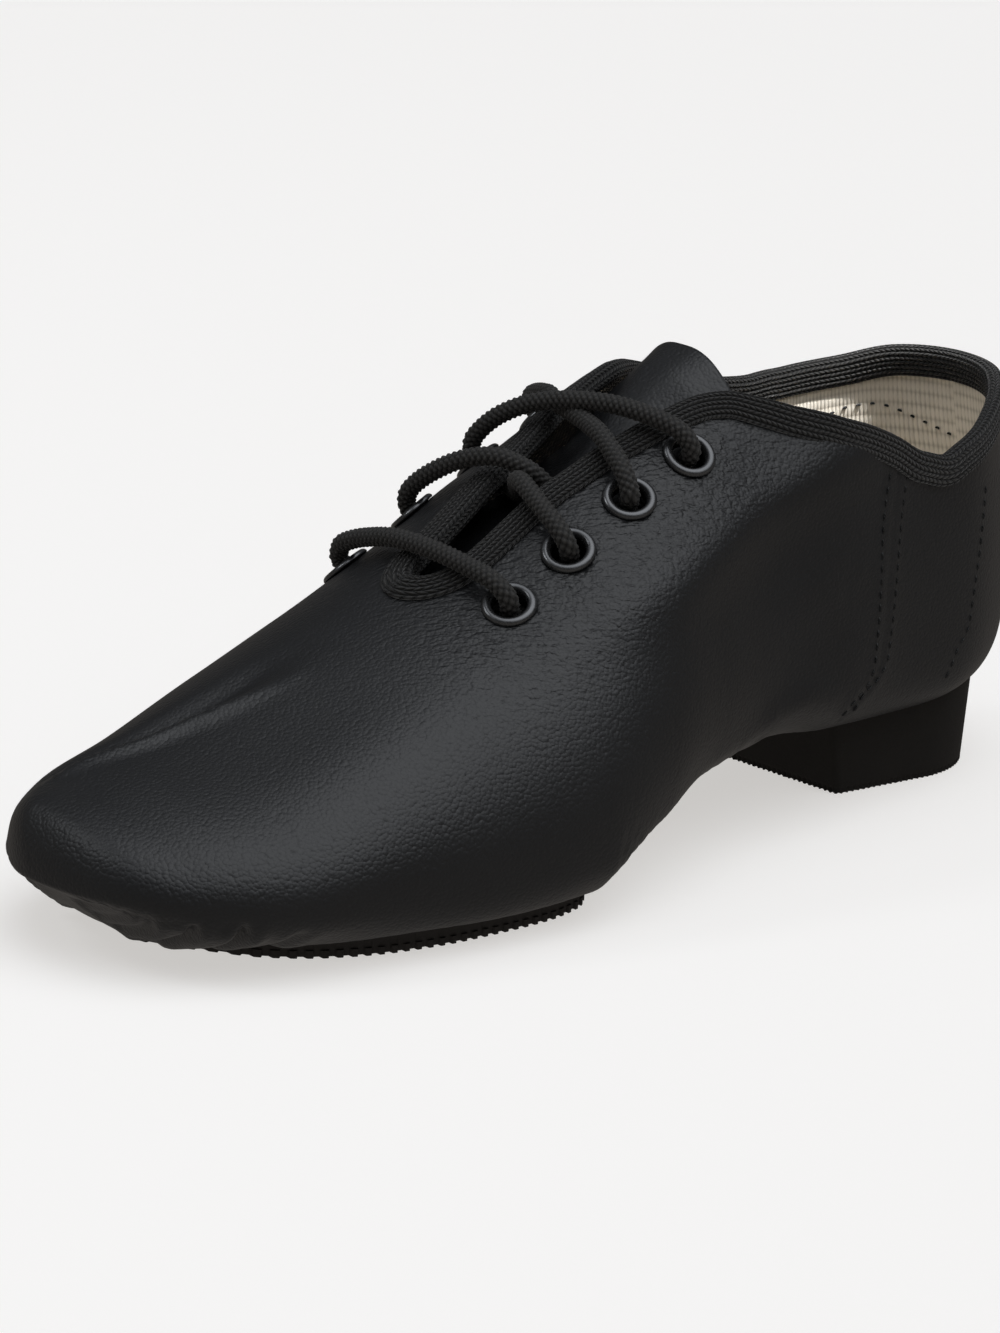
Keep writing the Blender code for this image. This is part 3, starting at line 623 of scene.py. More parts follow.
tape = tapeFinish(tapeKnit)


def braidFinish():
    finish = Finish("braidedLace", Specular_IOR_Level=0.4, Sheen_Weight=0.1, Sheen_Roughness=0.4)
    raised = finish.node("Attribute", {"attribute_name": "raised"}, None, 2)
    strands = finish.noise(finish.flat((1500.0, 5200.0, 1.0)), 1.0, 2.0, 0.6)
    fuzz = finish.noise(finish.places(), 5200.0, 2.0, 0.6)
    # The raised mask paints the colour: strand valleys get painted shade and crests a painted highlight; the
    # strand noise is the yarn's own variation.
    shade = finish.ramp(raised * 0.85 + strands * 0.3, ((0.30, 0.0), (1.0, 1.0)))
    tone = finish.blend(shade, (0.0016, 0.0014, 0.0012), (0.030, 0.028, 0.0255))
    return finish.use(Base_Color=tone, Roughness=0.55 + fuzz * 0.2, Normal=finish.bump(strands, 0.00012, 0.7))


braid = braidFinish()


def metalFinish():
    finish = Finish("gunmetal", Coat_Roughness=0.15, Specular_IOR_Level=0.5)
    wear = finish.noise(finish.places(), 900.0, 4.0, 0.65)
    tone = finish.blend(wear, (0.085, 0.086, 0.088), (0.140, 0.142, 0.146))
    rough = 0.24 + finish.ramp(wear, ((0.35, 0.0), (0.7, 1.0))) * 0.12
    level = finish.bump(wear, 0.00004, 0.4)
    return finish.use(Base_Color=tone, Roughness=rough, Metallic=0.85 + wear * 0.1, Normal=level)


metal = metalFinish()


def rubberFinish(name, dark, light, rough):
    finish = Finish(name, Specular_IOR_Level=0.3)
    grit = finish.noise(finish.places(), 1900.0, 4.0, 0.7)
    cloud = finish.noise(finish.places(), 55.0, 4.0, 0.6)
    tone = finish.blend(cloud, dark, light)
    return finish.use(Base_Color=tone, Roughness=rough + grit * 0.15, Normal=finish.bump(grit, 0.00012, 0.6))


heelRubber = rubberFinish("mattHeelRubber", (0.0040, 0.0033, 0.0027), (0.0085, 0.0070, 0.0056), 0.72)
soleRubber = rubberFinish("mattSoleRubber", (0.012, 0.010, 0.009), (0.020, 0.017, 0.0145), 0.68)


def threadFinish(name, tone):
    finish = Finish(name, Specular_IOR_Level=0.4)
    values = {"Vector": finish.places(), "Scale": 900.0}
    twist = finish.node("TexWave", {"bands_direction": "DIAGONAL"}, values)
    shade = finish.blend(twist, tuple(value * 0.6 for value in tone), tone)
    return finish.use(Base_Color=shade, Roughness=0.5 + twist * 0.15, Normal=finish.bump(twist, 0.0001, 0.6))


thread = threadFinish("blackThread", (0.009, 0.009, 0.009))
print("materials made")


# Upper: soft leather over the last, with its folds
upperValues = {
    "rows": 250,
    "across": 92,
    "thickness": 0.8 * mm,
    "holeRadius": 4.5 * mm,
}

# Folds: places (share, degrees), width and height in mm; a trough has a negative height
foldRows = (
    (((0.770, 22), (0.740, 27.5), (0.688, 31), (0.644, 33), (0.583, 34.5), (0.515, 36), (0.449, 41),
      (0.386, 46)), 7.0, 2.2),
    (((0.760, 12), (0.700, 17), (0.640, 20), (0.560, 21), (0.480, 25)), 11.0, -1.5),
    (((0.040, 114), (0.061, 105.3), (0.104, 95.5), (0.144, 90.7), (0.173, 87.3), (0.225, 82.5)), 2.2, 1.9),
    (((0.045, 124), (0.080, 114), (0.119, 104), (0.155, 98.5), (0.190, 94), (0.240, 90)), 3.8, -2.2),
    (((0.600, 8), (0.640, 6), (0.690, 5), (0.715, 12)), 9.0, -1.2),
    (((0.590, -8), (0.618, -2), (0.650, -2), (0.700, -12)), 3.4, 0.9),
    (((0.120, 40), (0.180, 44), (0.240, 44), (0.300, 46), (0.360, 52)), 12.0, 0.8),
    (((0.080, 66), (0.140, 70), (0.210, 68), (0.270, 70)), 13.0, -0.8),
    (((0.380, -30), (0.440, -29), (0.500, -25), (0.550, -30), (0.620, -37)), 12.0, -4.4),
    (((0.580, -33), (0.620, -38), (0.660, -45), (0.710, -51)), 12.0, -1.8),
)

# Gathers under the toe: share at the top and underneath, degrees at the top, width and depth in mm
gatherRows = (
    (0.012, 0.026, -24, 1.6, 0.5), (0.018, 0.036, -20, 1.6, 0.6), (0.027, 0.050, -16, 1.6, 0.9),
    (0.042, 0.064, -12, 1.5, 0.9), (0.051, 0.070, -9.5, 1.0, 2.7), (0.081, 0.095, -7, 1.0, 2.7),
    (0.122, 0.124, -14, 1.5, 1.0),
)

# How soon a gather is deep, and the lip of leather beside it
gatherValues = {"onset": 7.0, "lip": 0.42, "lipPlace": 2.8 * mm, "lipWidth": 1.7 * mm}

# Back seam between two rows of stitches (share, degrees)
seamFront = (
    (0.755, 23.3), (0.744, 15.0), (0.741, 10.0), (0.738, 3.0), (0.724, -7.7), (0.710, -14.5), (0.700, -30.0),
)
seamBack = (
    (0.776, 19.3), (0.768, 13.0), (0.762, 7.0), (0.756, 1.0), (0.741, -5.5), (0.722, -12.5), (0.712, -30.0),
)
seamValues = {"depth": 0.4 * mm, "width": 0.9 * mm, "lip": 0.2 * mm, "lipWidth": 2.9 * mm}
seamRows = tuple(((a + c) / 2, (b + d) / 2) for (a, b), (c, d) in zip(seamFront, seamBack))


def mirrored(rows):
    return [(share, 180 - turn) for share, turn in rows]


def alongRoute(rows, spacing=1.0 * mm, height=0.0):
    rows = np.array(rows, float)
    steps = np.arange(len(rows), dtype=float)
    fine = np.linspace(0, steps[-1], 400)
    share = smoothColumn(steps, rows[:, 0], fine)
    turn = smoothColumn(steps, rows[:, 1], fine)
    points = skin(runOf(share), turn)
    lengths = travelled(points)
    wanted = np.linspace(0, lengths[-1], max(int(lengths[-1] / spacing), 2) + 1)
    share, turn = np.interp(wanted, lengths, share), np.interp(wanted, lengths, turn)
    run = runOf(share)
    return overSkin(run, turn, np.full_like(run, height)), outward(run, turn), wanted / lengths[-1]


def nearRoute(points, route):
    best = np.full(len(points), 1e9)
    part = np.zeros(len(points))
    for place, share in zip(route[0], route[2]):
        gap = ((points - place) ** 2).sum(1)
        closer = gap < best
        best[closer] = gap[closer]
        part[closer] = share
    return np.sqrt(best), part


# Leather that bulges over the edge of the forefoot patch
bulgeValues = {"outside": 4.2 * mm, "width": 4.6 * mm, "height": 1.5 * mm}


def patchEdge(spread, count=90):
    span = np.linspace(0, 1, count)
    low, high = patchRows[0, 0], patchRows[-1, 0]
    share = low + (high - low) * shareOf(span)
    places = (patchRows[:, 0] - low) / (high - low)
    along = last["length"] * (share - 0.5)
    sides = [smoothColumn(runOf(places), patchRows[:, index], span) * last["ballWidth"] for index in (1, 2)]
    loop = np.concatenate([np.stack([sides[0], along], 1), np.stack([-sides[1], along], 1)[::-1][1:-1]])
    loop = loop - inwardOf(loop) * spread
    return np.column_stack([loop, undersideAt(loop[:, 0], loop[:, 1])])


def relief(points):
    total = np.zeros(len(points))
    edge = patchEdge(bulgeValues["outside"])
    gap, _ = nearRoute(points, (edge, None, np.zeros(len(edge))))
    total += bulgeValues["height"] * np.exp(-(gap / bulgeValues["width"]) ** 2)
    for rows, width, height in foldRows:
        gap, part = nearRoute(points, alongRoute(rows, 2 * mm))
        fade = np.sin(math.pi * np.clip(part, 0.03, 0.97)) ** 0.7
        total += height * mm * np.exp(-(gap / (width * mm)) ** 2) * fade
    for start, end, high, width, depth in gatherRows:
        for turns in ((high, -40, -70), (180 - high, 220, 250)):
            rows = ((start, turns[0]), ((start + end) / 2, turns[1]), (end, turns[2]))
            gap, part = nearRoute(points, alongRoute(rows, 0.7 * mm))
            grown = np.clip(part * gatherValues["onset"], 0, 1)
            lip = np.exp(-((gap - gatherValues["lipPlace"]) / gatherValues["lipWidth"]) ** 2)
            total -= depth * mm * np.exp(-(gap / (width * mm)) ** 2) * grown
            total += gatherValues["lip"] * depth * mm * lip * grown
    for rows in (seamRows, mirrored(seamRows)):
        gap, _ = nearRoute(points, alongRoute(rows, 0.8 * mm))
        total -= seamValues["depth"] * np.exp(-(gap / seamValues["width"]) ** 2)
        total += seamValues["lip"] * np.exp(-(gap / seamValues["lipWidth"]) ** 4)
    return total


# Length along the skin up to each place, where the toe can count for more
def skinLengths(toeWeight=1.0):
    dense = np.linspace(0, 1, 1201)
    tracks = [skin(dense, np.full_like(dense, turn)) for turn in (0, 60, 120, 180)]
    steps = sum(np.linalg.norm(np.diff(track, axis=0), axis=1) for track in tracks) / len(tracks)
    steps = steps * np.where(shareOf(dense[1:]) < 0.14, toeWeight, 1.0)
    return dense, np.concatenate([[0], np.cumsum(steps)])


def evenRuns(count):
    dense, total = skinLengths(1.7)
    return np.interp(np.linspace(0, total[-1], count + 1), total, dense)


# Degrees at an even spacing along each section, from under the foot to an edge
def evenTurns(runs, low, high, count):
    fine = np.linspace(0, 1, 241)
    turns = np.empty((len(runs), count + 1))
    for index, run in enumerate(runs):
        degrees = low + (high[index] - low) * fine
        points = skin(np.full_like(degrees, run), degrees)
        lengths = travelled(points)
        lengths = lengths / max(lengths[-1], 1e-9) + fine * 1e-6
        turns[index] = np.interp(np.linspace(0, lengths[-1], count + 1), lengths, degrees)
    return turns


# Sections round the throat's front, closer where its edge turns
throatSteps = np.array([0, 0.01, 0.04, 0.09, 0.16, 0.26, 0.38, 0.52, 0.7, 0.85, 1.0])


# Both sides of the upper as one sheet at a height over the skin, with the folds
def upperSheet(values, height):
    rows, across = values["rows"], values["across"]
    start = float(runOf(last["throatStart"]))
    end = float(runOf(last["throatStart"] + last["throatRound"]))
    runs = evenRuns(rows)
    runs = runs[(runs < start - 0.002) | (runs > end)]
    curve = last["throatStart"] + last["throatRound"] * throatSteps
    runs = np.sort(np.concatenate([runs, runOf(curve)]))
    lateralEdge, medialEdge = rim(runs)
    points, turnsAll, faces = [], [], []
    for low, high in ((-90, lateralEdge), (270, medialEdge)):
        turns = evenTurns(runs, low, high, across)
        faces += gridFaces(len(runs), across + 1, len(points) * len(runs) * (across + 1))
        points.append(overSkin(runs[:, None] + 0 * turns, turns, np.full_like(turns, height)))
        turnsAll.append(turns)
    places = np.concatenate([sheet.reshape(-1, 3) for sheet in points])
    run = np.concatenate([np.repeat(runs, across + 1)] * 2)
    turn = np.concatenate([sheet.ravel() for sheet in turnsAll])
    places = places + outward(run, turn) * relief(places)[:, None]
    return places, faces, run, turn


def eyeletSeats():
    seats = []
    for number, (share, lateral, medial) in enumerate(eyeletRows, 1):
        for side, turn in (("lateral", lateral), ("medial", medial)):
            run = float(runOf(share))
            normal = outward(run, turn)
            along = skin(run + 0.002, turn) - skin(run - 0.002, turn)
            along = unit(along - normal * along.dot(normal))
            seats.append((side, number, skin(run, turn), normal, along, np.cross(normal, along)))
    return seats


seats = eyeletSeats()


def dropHoles(places, faces, radius):
    faces = np.array(faces)
    middles = places[faces].mean(1)
    keep = np.ones(len(faces), bool)
    for _, _, middle, normal, _, _ in seats:
        offset = middles - middle
        depth = offset @ normal
        gap = np.linalg.norm(offset - depth[:, None] * normal, axis=1)
        keep &= (gap > radius) | (np.abs(depth) > 8 * mm)
    return faces[keep].tolist()


# Half a section is about this long in metres
halfGirth = 0.13


def addFlatMap(piece, run, turn):
    dense, total = skinLengths()
    writeMap(piece, np.stack([np.interp(run, dense, total), turn / 180 * halfGirth], 1))


def addMask(piece, name, values):
    layer = piece.data.attributes.new(name, "FLOAT", "POINT")
    layer.data.foreach_set("value", values.astype(np.float32))


def joinSheet(name, places, faces, run, turn, mask):
    piece = meshPiece(name, places, faces)
    addFlatMap(piece, run, turn)
    addMask(piece, "tight", mask)
    form = bmesh.new()
    form.from_mesh(piece.data)
    loose = [vert for vert in form.verts if not vert.link_faces]
    bmesh.ops.delete(form, geom=loose, context="VERTS")
    bmesh.ops.remove_doubles(form, verts=form.verts, dist=0.00003)
    bmesh.ops.dissolve_degenerate(form, edges=form.edges, dist=0.00001)
    bmesh.ops.recalc_face_normals(form, faces=form.faces)
    form.to_mesh(piece.data)
    form.free()
    piece.data.shade_smooth()
    return piece


# An open shell of the shoe faces away from its middle line
def outwardFaces(piece):
    middle = Vector((-0.004, 0.0, 0.035))
    total = 0.0
    for face in piece.data.polygons:
        total += face.normal.dot(face.center - middle) * face.area
    if total < 0:
        piece.data.flip_normals()


# How drawn the leather is: high round the eyelets and fading down the side
def tightness(places):
    total = np.zeros(len(places))
    for _, _, middle, _, _, _ in seats:
        gap = np.linalg.norm(places - middle, axis=1)
        total = np.maximum(total, np.exp(-((gap - 4 * mm) / (19 * mm)) ** 2))
    return np.clip(total, 0, 1)


places, faces, run, turn = upperSheet(upperValues, 0.0)
faces = dropHoles(places, faces, upperValues["holeRadius"])
upper = joinSheet("upperLeather", places, faces, run, turn, tightness(places))
outwardFaces(upper)
addWall(upper, upperValues["thickness"])
setPiece(upper, leather, "upper_leather", "upper")
print("upper made")


# Lining and insole keep clear of the deep gathers under the toe
def clearOfGathers(share):
    return 2.2 * mm * np.clip((0.17 - share) / 0.05, 0, 1)


# Canvas lining just inside the leather
liningValues = {"rows": 150, "across": 56, "depth": 0.95 * mm, "thickness": 0.45 * mm}
places, faces, run, turn = upperSheet(liningValues, -liningValues["depth"])
places = places - outward(run, turn) * clearOfGathers(shareOf(run))[:, None]
faces = dropHoles(places, faces, upperValues["holeRadius"])
facing = np.clip((0.655 - shareOf(run)) / 0.012, 0, 1)
lining = joinSheet("canvasLining", places, faces, run, turn, facing)
outwardFaces(lining)
addWall(lining, liningValues["thickness"])
setPiece(lining, canvas, "canvas_lining", "upper")
print("lining made")


# Binding: ribbed woven tape folded over the whole edge
tapeValues = {
    "leg": 5.4 * mm,
    "spacing": 0.62 * mm,
    "ribHeight": 0.42 * mm,
    "insideDepth": 1.5 * mm,
}


def rimPath(spacing):
    dense = np.linspace(float(runOf(last["throatStart"])), 1, 3000)
    extra = runOf(last["throatStart"] + last["throatRound"] * np.linspace(0, 1, 400) ** 2)
    dense = np.unique(np.concatenate([dense, extra]))
    lateral, medial = rim(dense)
    run = np.concatenate([dense, 2 - dense[::-1][1:]])
    turn = np.concatenate([lateral, 180 - medial[::-1][1:]])
    points = skin(run, turn)
    lengths = travelled(points)
    count = int(lengths[-1] / spacing)
    wanted = np.linspace(0, lengths[-1], count, endpoint=False)
    return np.interp(wanted, lengths, run), np.interp(wanted, lengths, turn), wanted


def makeBinding(values):
    run, turn, travel = rimPath(values["spacing"])
    points = skin(run, turn)
    tangent = unit(np.roll(points, -1, axis=0) - np.roll(points, 1, axis=0))
    normal = outward(run, turn)
    into = unit(np.cross(tangent, normal))
    leg, inside = values["leg"] / mm, values["insideDepth"] / mm
    outer, lengths = smoothRoute(np.array((
        (leg, 0.12), (leg - 0.25, 0.75), (leg * 0.7, 1.15), (leg * 0.35, 1.3), (0.2, 1.25), (-0.75, 0.7),
        (-1.05, -0.5), (-0.7, -inside - 0.35), (0.3, -inside - 0.9), (leg * 0.5, -inside - 0.95),
        (leg - 0.3, -inside - 0.7), (leg, -inside - 0.1),
    )) * mm, 0.2 * mm)
    slope = np.gradient(outer, axis=0)
    facing = unit(np.stack([slope[:, 1], -slope[:, 0]], 1))
    if facing[len(facing) // 3] @ np.array([0, 1]) < 0:
        facing = -facing
    inner = np.array((
        (leg - 0.1, -inside), (leg * 0.5, -inside), (-0.25, -inside), (-0.25, 0.1), (leg * 0.5, 0.1),
        (leg - 0.1, 0.1),
    )) * mm
    cord = np.abs(np.sin(math.pi * lengths / tapeKnit["rib"])) ** 0.7
    ends = np.clip(np.minimum(lengths, lengths[-1] - lengths) / (0.6 * mm), 0, 1)
    profile = outer + facing * (values["ribHeight"] * (cord - 0.6) * ends)[:, None]
    rings = np.repeat(np.vstack([profile, inner])[None], len(run), axis=0)
    count = rings.shape[1]
    distance = np.maximum(rings[..., 0], 0)
    repeated = [np.repeat(part[:, None], count, axis=1) for part in (run, turn, into)]
    reached = slide(*repeated, distance)
    base = skin(*reached)
    facing = outward(*reached)
    short = np.minimum(rings[..., 0], 0)[..., None] * into[:, None, :]
    body = base + short + facing * rings[..., 1][..., None]
    return loftPieceWithMap("wovenBinding", body, travel, np.concatenate([lengths, np.zeros(len(inner))]))


setPiece(makeBinding(tapeValues), tape, "woven_tape", "binding")
print("binding made")


# Tongue: a leather sheet that rises behind the laces
tongueValues = {
    "start": 0.298, "turns": (48.0, 128.0),
    "rows": 110, "across": 76, "leather": 0.75 * mm, "lining": 0.4 * mm,
}
tongueRows = np.array((
    (0.296, 2, 2), (0.315, 2, 2), (0.327, 4, 4), (0.370, 7.9, 7.6), (0.540, 7.9, 6.6),
    (0.575, 6, 3.2), (0.605, 3.9, 0.9), (0.660, 3.6, 0.3),
)) * (1, mm, mm)


# Free edge of the tongue: place across from medial to lateral, share along
tongueEnd = np.array((
    (-1.00, 0.600), (-0.65, 0.626), (-0.40, 0.632), (-0.17, 0.633), (0.00, 0.632), (0.15, 0.630),
    (0.36, 0.627), (0.50, 0.626), (0.725, 0.624), (1.00, 0.610),
))


def tongueDepth(share, turn):
    side = smoothColumn(tongueRows[:, 0], tongueRows[:, 1], share)
    middle = smoothColumn(tongueRows[:, 0], tongueRows[:, 2], share)
    lateral, medial = rim(runOf(np.maximum(share, last["throatStart"] + 0.004)))
    spread = np.abs(turn - (lateral + medial) / 2) / ((medial - lateral) / 2)
    fall = np.clip((spread - 0.05) / 0.83, 0, 1)
    weight = 1 - fall * fall * (3 - 2 * fall)
    return side + (middle - side) * weight


def makeTongue(name, values, depth, thickness):
    turns = np.linspace(*values["turns"], values["across"])[None, :]
    across = np.linspace(1, -1, values["across"])[None, :]
    end = smoothColumn(tongueEnd[:, 0], tongueEnd[:, 1], across)
    part = np.linspace(0, 1, values["rows"])[:, None]
    share = values["start"] + (end - values["start"]) * part
    turns = turns + 0 * share
    run = runOf(share)
    points = overSkin(run, turns, -tongueDepth(share, turns) - depth)
    piece = meshPiece(name, points, gridFaces(values["rows"], values["across"]))
    addFlatMap(piece, run.ravel(), turns.ravel())
    addMask(piece, "tight", np.zeros(points.size // 3))
    faceTowards(piece, (0, -0.5, 1))
    piece.data.shade_smooth()
    return addWall(piece, thickness)


tongueLeather = makeTongue("tongueLeather", tongueValues, 0.0, tongueValues["leather"])
setPiece(tongueLeather, leather, "upper_leather", "tongue")
liningDepth = tongueValues["leather"] + 0.03 * mm
tongueLining = makeTongue("tongueLining", tongueValues, liningDepth, tongueValues["lining"])
setPiece(tongueLining, canvas, "canvas_lining", "tongue")
print("tongue made")


# Insole inside the shoe: edge is in degrees below level, and rounding is added to it at the heel
insoleValues = {
    "start": 0.03, "end": 0.98, "edge": 38.0, "rounding": 32.0, "wall": 1.8 * mm, "thickness": 1.9 * mm,
    "rows": 120, "across": 40,
}


def makeInsole(values):
    share = np.linspace(values["start"], values["end"], values["rows"])[:, None]
    edge = values["edge"] + values["rounding"] * np.clip((share - values["end"]) / 0.04 + 1, 0, 1) ** 2
    turns = -edge + (2 * edge - 180) * np.linspace(0, 1, values["across"])[None, :]
    run, turn = (runOf(share) + 0 * turns).ravel(), turns.ravel()
    points = overSkin(run, turn, np.full_like(turn, -values["wall"]))
    lift = relief(points) - clearOfGathers(shareOf(run))
    points = points + outward(run, turn) * lift[:, None]
    piece = meshPiece("insoleSheet", points, gridFaces(values["rows"], values["across"]))
    addFlatMap(piece, run, turn)
    faceTowards(piece, (0, 0, -1))
    piece.data.shade_smooth()
    return addWall(piece, values["thickness"])


insoleCanvas = canvasFinish("insoleCanvas", (0.40, 0.36, 0.30), (0.21, 0.185, 0.15))
setPiece(makeInsole(insoleValues), insoleCanvas, "canvas_lining", "insole")
print("insole made")


# Forefoot patch with a notched edge and a ribbed tread
soleValues = {
    "ribPitch": 2.4 * mm, "ribDepth": 0.45 * mm, "treadDepth": 0.4 * mm, "ribHeight": 1.5 * mm,
    "gap": 0.08 * mm,
}


def makeSole(values):
    low, high = patchRows[0, 0], patchRows[-1, 0]
    span = (patchRows[:, 0] - low) / (high - low)
    even = np.linspace(0, 1, 620)
    fine = np.unique(np.concatenate([runOf(even), np.linspace(0, 1, 120)]))
    share = low + (high - low) * shareOf(fine)
    lateral = smoothColumn(runOf(span), patchRows[:, 1], fine) * last["ballWidth"]
    medial = -smoothColumn(runOf(span), patchRows[:, 2], fine) * last["ballWidth"]
    along = last["length"] * (share - 0.5)
    wave = np.clip(0.5 + 1.4 * np.sin(2 * math.pi * along / values["ribPitch"]), 0, 1)
    middle, half = (lateral + medial) / 2, (lateral - medial) / 2
    half = np.maximum(half - 0.05 * mm, 0.02 * mm)
    notched = np.maximum(half - values["ribDepth"] * wave, half * 0.6)
    plain = np.maximum(half - values["ribDepth"], half * 0.6)
    rings = []
    across = np.linspace(-1, 1, 22)
    for index in range(len(fine)):
        bottomX = middle[index] + notched[index] * across
        topX = middle[index] + plain[index] * across[::-1]
        topZ = undersideAt(topX, np.full_like(topX, along[index])) - values["gap"]
        treadEdge = np.clip((1 - np.abs(across)) / 0.06, 0, 1)
        bottomZ = values["treadDepth"] * wave[index] * np.clip(treadEdge + 0.6, 0, 1)
        wallX = middle[index] + np.array([notched[index], plain[index]])
        wallHigh = min(values["ribHeight"], topZ[0] - 0.2 * mm)
        ring = [(x, along[index], z) for x, z in zip(bottomX, bottomZ)]
        ring += [(wallX[0], along[index], wallHigh), (wallX[1], along[index], wallHigh + 0.1 * mm)]
        ring += [(x, along[index], z) for x, z in zip(topX, topZ)]
        back = middle[index] - np.array([plain[index], notched[index]])
        wallLow = min(values["ribHeight"], topZ[-1] - 0.2 * mm)
        ring += [(back[0], along[index], wallLow + 0.1 * mm), (back[1], along[index], wallLow)]
        rings.append(ring)
    return loftPiece("forefootPatch", rings)


sole = makeSole(soleValues)
keepCrisp(sole, 40)
setPiece(sole, soleRubber, "sole_rubber", "forefoot_sole")
print("forefoot patch made")


# Heel block with a fine serration round its foot
heelValues = {
    "radius": 22.8 * mm, "breastWidth": 39.0 * mm, "length": 49.5 * mm, "flare": 1.2 * mm, "slant": 5.0 * mm,
    "edge": 0.8 * mm, "backShare": 0.9636, "middle": -0.038, "top": 4.5 * mm, "notchPitch": 1.5 * mm,
    "notchDepth": 0.28 * mm,
}


def heelLoop(values, spread, slant, count=520):
    middle = values["middle"] * last["ballWidth"]
    back = last["length"] * (values["backShare"] - 0.5)
    centre = back - values["radius"]
    radius = values["radius"] + spread
    breast = back - values["length"] - slant
    half = values["breastWidth"] / 2 + spread
    corner = 1.5 * mm
    bend = np.radians(np.linspace(0, 90, 7))
    left = np.stack([middle - half + corner * (1 - np.cos(bend)), breast + corner * (1 - np.sin(bend))], 1)
    right = np.stack([middle + half - corner * (1 - np.sin(bend)), breast + corner * (1 - np.cos(bend))], 1)
    arc = np.radians(np.linspace(-8, 188, 120))
    backArc = np.stack([middle + radius * np.cos(arc), centre + radius * np.sin(arc)], 1)
    loop = np.vstack([left, right, backArc])
    closed = np.vstack([loop, loop[:1]])
    lengths = travelled(closed)
    wanted = np.linspace(0, lengths[-1], count, endpoint=False)
    return np.stack([np.interp(wanted, lengths, closed[:, axis]) for axis in (0, 1)], 1), lengths[-1]


def makeHeel(values):
    rings = []
    top = last["heelSeat"] + values["top"]
    heights = (0.0, 0.25, 0.7, 1.2, 1.5, 1.9, 4.0, 8.0, 12.0, 16.0, top / mm)
    for height in heights:
        part = max(height * mm - values["edge"], 0) / (top - values["edge"])
        spread = values["flare"] * part - (0.25 * mm if height == 0 else 0)
        loop, around = heelLoop(values, spread, 0.4 * mm + (values["slant"] - 0.4 * mm) * part)
        teeth = round(around / values["notchPitch"])
        wave = np.clip(0.5 + 1.3 * np.sin(2 * math.pi * teeth * np.arange(len(loop)) / len(loop)), 0, 1)
        depth = values["notchDepth"] * wave * (1.0 if height <= 1.2 else 0.0)
        loop = loop + inwardOf(loop) * depth[:, None]
        lift = 0.22 * mm * wave if height == 0 else 0
        rings.append(np.column_stack([loop, np.full(len(loop), height * mm) + lift]))
    block = loftPiece("heelBlock", rings)
    runs = np.linspace(0.5, 1, 60)
    turns = np.concatenate([np.linspace(-90, 90, 60), np.linspace(90, 270, 60)[1:-1]])
    shell = [overSkin(np.full_like(turns, r), turns, np.full_like(turns, 0.12 * mm)) for r in runs]
    return carve(block, loftPiece("seatForm", shell))


heel = makeHeel(heelValues)
keepCrisp(heel, 38)
setPiece(heel, heelRubber, "heel_rubber", "heel_block")
print("heel block made")


# Eyelets: rolled rings through the wall
eyeletValues = {
    "hole": 3.4 * mm, "flange": 5.4 * mm, "barrel": 3.9 * mm, "lift": 0.15 * mm, "rise": 1.1 * mm,
    "under": -2.6 * mm,
}


def turnedPiece(name, seat, profile, count=56):
    _, _, middle, normal, along, around = seat
    angles = np.linspace(0, 2 * math.pi, count, endpoint=False)
    spokes = np.cos(angles)[:, None] * along + np.sin(angles)[:, None] * around
    rings = [middle + normal * height + radius * spokes for radius, height in profile]
    return loftPiece(name, rings, closedAlong=True)


def makeEyelet(seat, values):
    hole, flange, barrel = values["hole"], values["flange"], values["barrel"]
    lift, under = values["lift"], values["under"]
    middle = (hole + flange) / 2
    half = (flange - hole) / 2
    profile = [(barrel, under + 0.5 * mm), (hole + 0.05 * mm, under + 0.6 * mm), (hole, lift - 0.3 * mm)]
    for degrees in np.linspace(175, 5, 15):
        bend = math.radians(degrees)
        profile.append((middle + half * math.cos(bend), lift + (values["rise"] - lift) * math.sin(bend)))
    profile += [
        (flange - 0.15 * mm, lift - 0.12 * mm), (barrel + 0.3 * mm, lift - 0.1 * mm),
        (barrel, lift - 0.4 * mm),
    ]
    return turnedPiece(f"eyelet_{seat[0]}_{seat[1]}", seat, profile)


for seat in seats:
    ring = makeEyelet(seat, eyeletValues)
    ring.name = f"ring_{seat[0]}_{seat[1]}"
    setPiece(ring, metal, "eyelet_metal", f"eyelet_{seat[0]}_{seat[1]}")
print("eyelets made")


# Lace: one braided cord through all eyelets (share, degrees, height in mm over the skin)
laceValues = {
    "radius": 1.80 * mm, "spacing": 0.27 * mm, "around": 54,
    "strands": 6, "cell": 1.35 * mm, "depth": 0.58 * mm,
}
laceBar = (
    (0.367, 125, -2.8), (0.367, 124.8, 2.2), (0.366, 121, 4.0), (0.365, 117, 4.2), (0.364, 109, 3.6),
    (0.362, 96, 3.5), (0.362, 83, 3.6), (0.364, 72, 3.8), (0.366, 66, 3.8), (0.367, 62.2, 1.7),
    (0.367, 62, -2.8),
)
laceOver1 = (
    (0.425, 121.5, -2.8), (0.425, 121.2, 1.6), (0.426, 117, 4.0), (0.431, 109, 4.8), (0.440, 99, 5.2),
    (0.449, 90.5, 4.6), (0.456, 85.8, 1.4), (0.462, 83.2, -3.0), (0.466, 80.2, -5.2), (0.472, 75, -5.6),
    (0.481, 67.5, -5.6), (0.487, 63, -4.6), (0.488, 62, -1.6),
)
laceUnder1 = (
    (0.425, 62.5, -2.8), (0.425, 62.7, 1.7), (0.427, 66.5, 3.6), (0.431, 73, 3.8), (0.438, 80.5, 3.8),
    (0.444, 85.4, 1.4), (0.449, 88, -2.2), (0.454, 91, -5), (0.461, 97, -5.6), (0.471, 107, -5.6),
    (0.481, 116.5, -5.6), (0.487, 119.6, -4.6), (0.488, 120.5, -1.6),
)
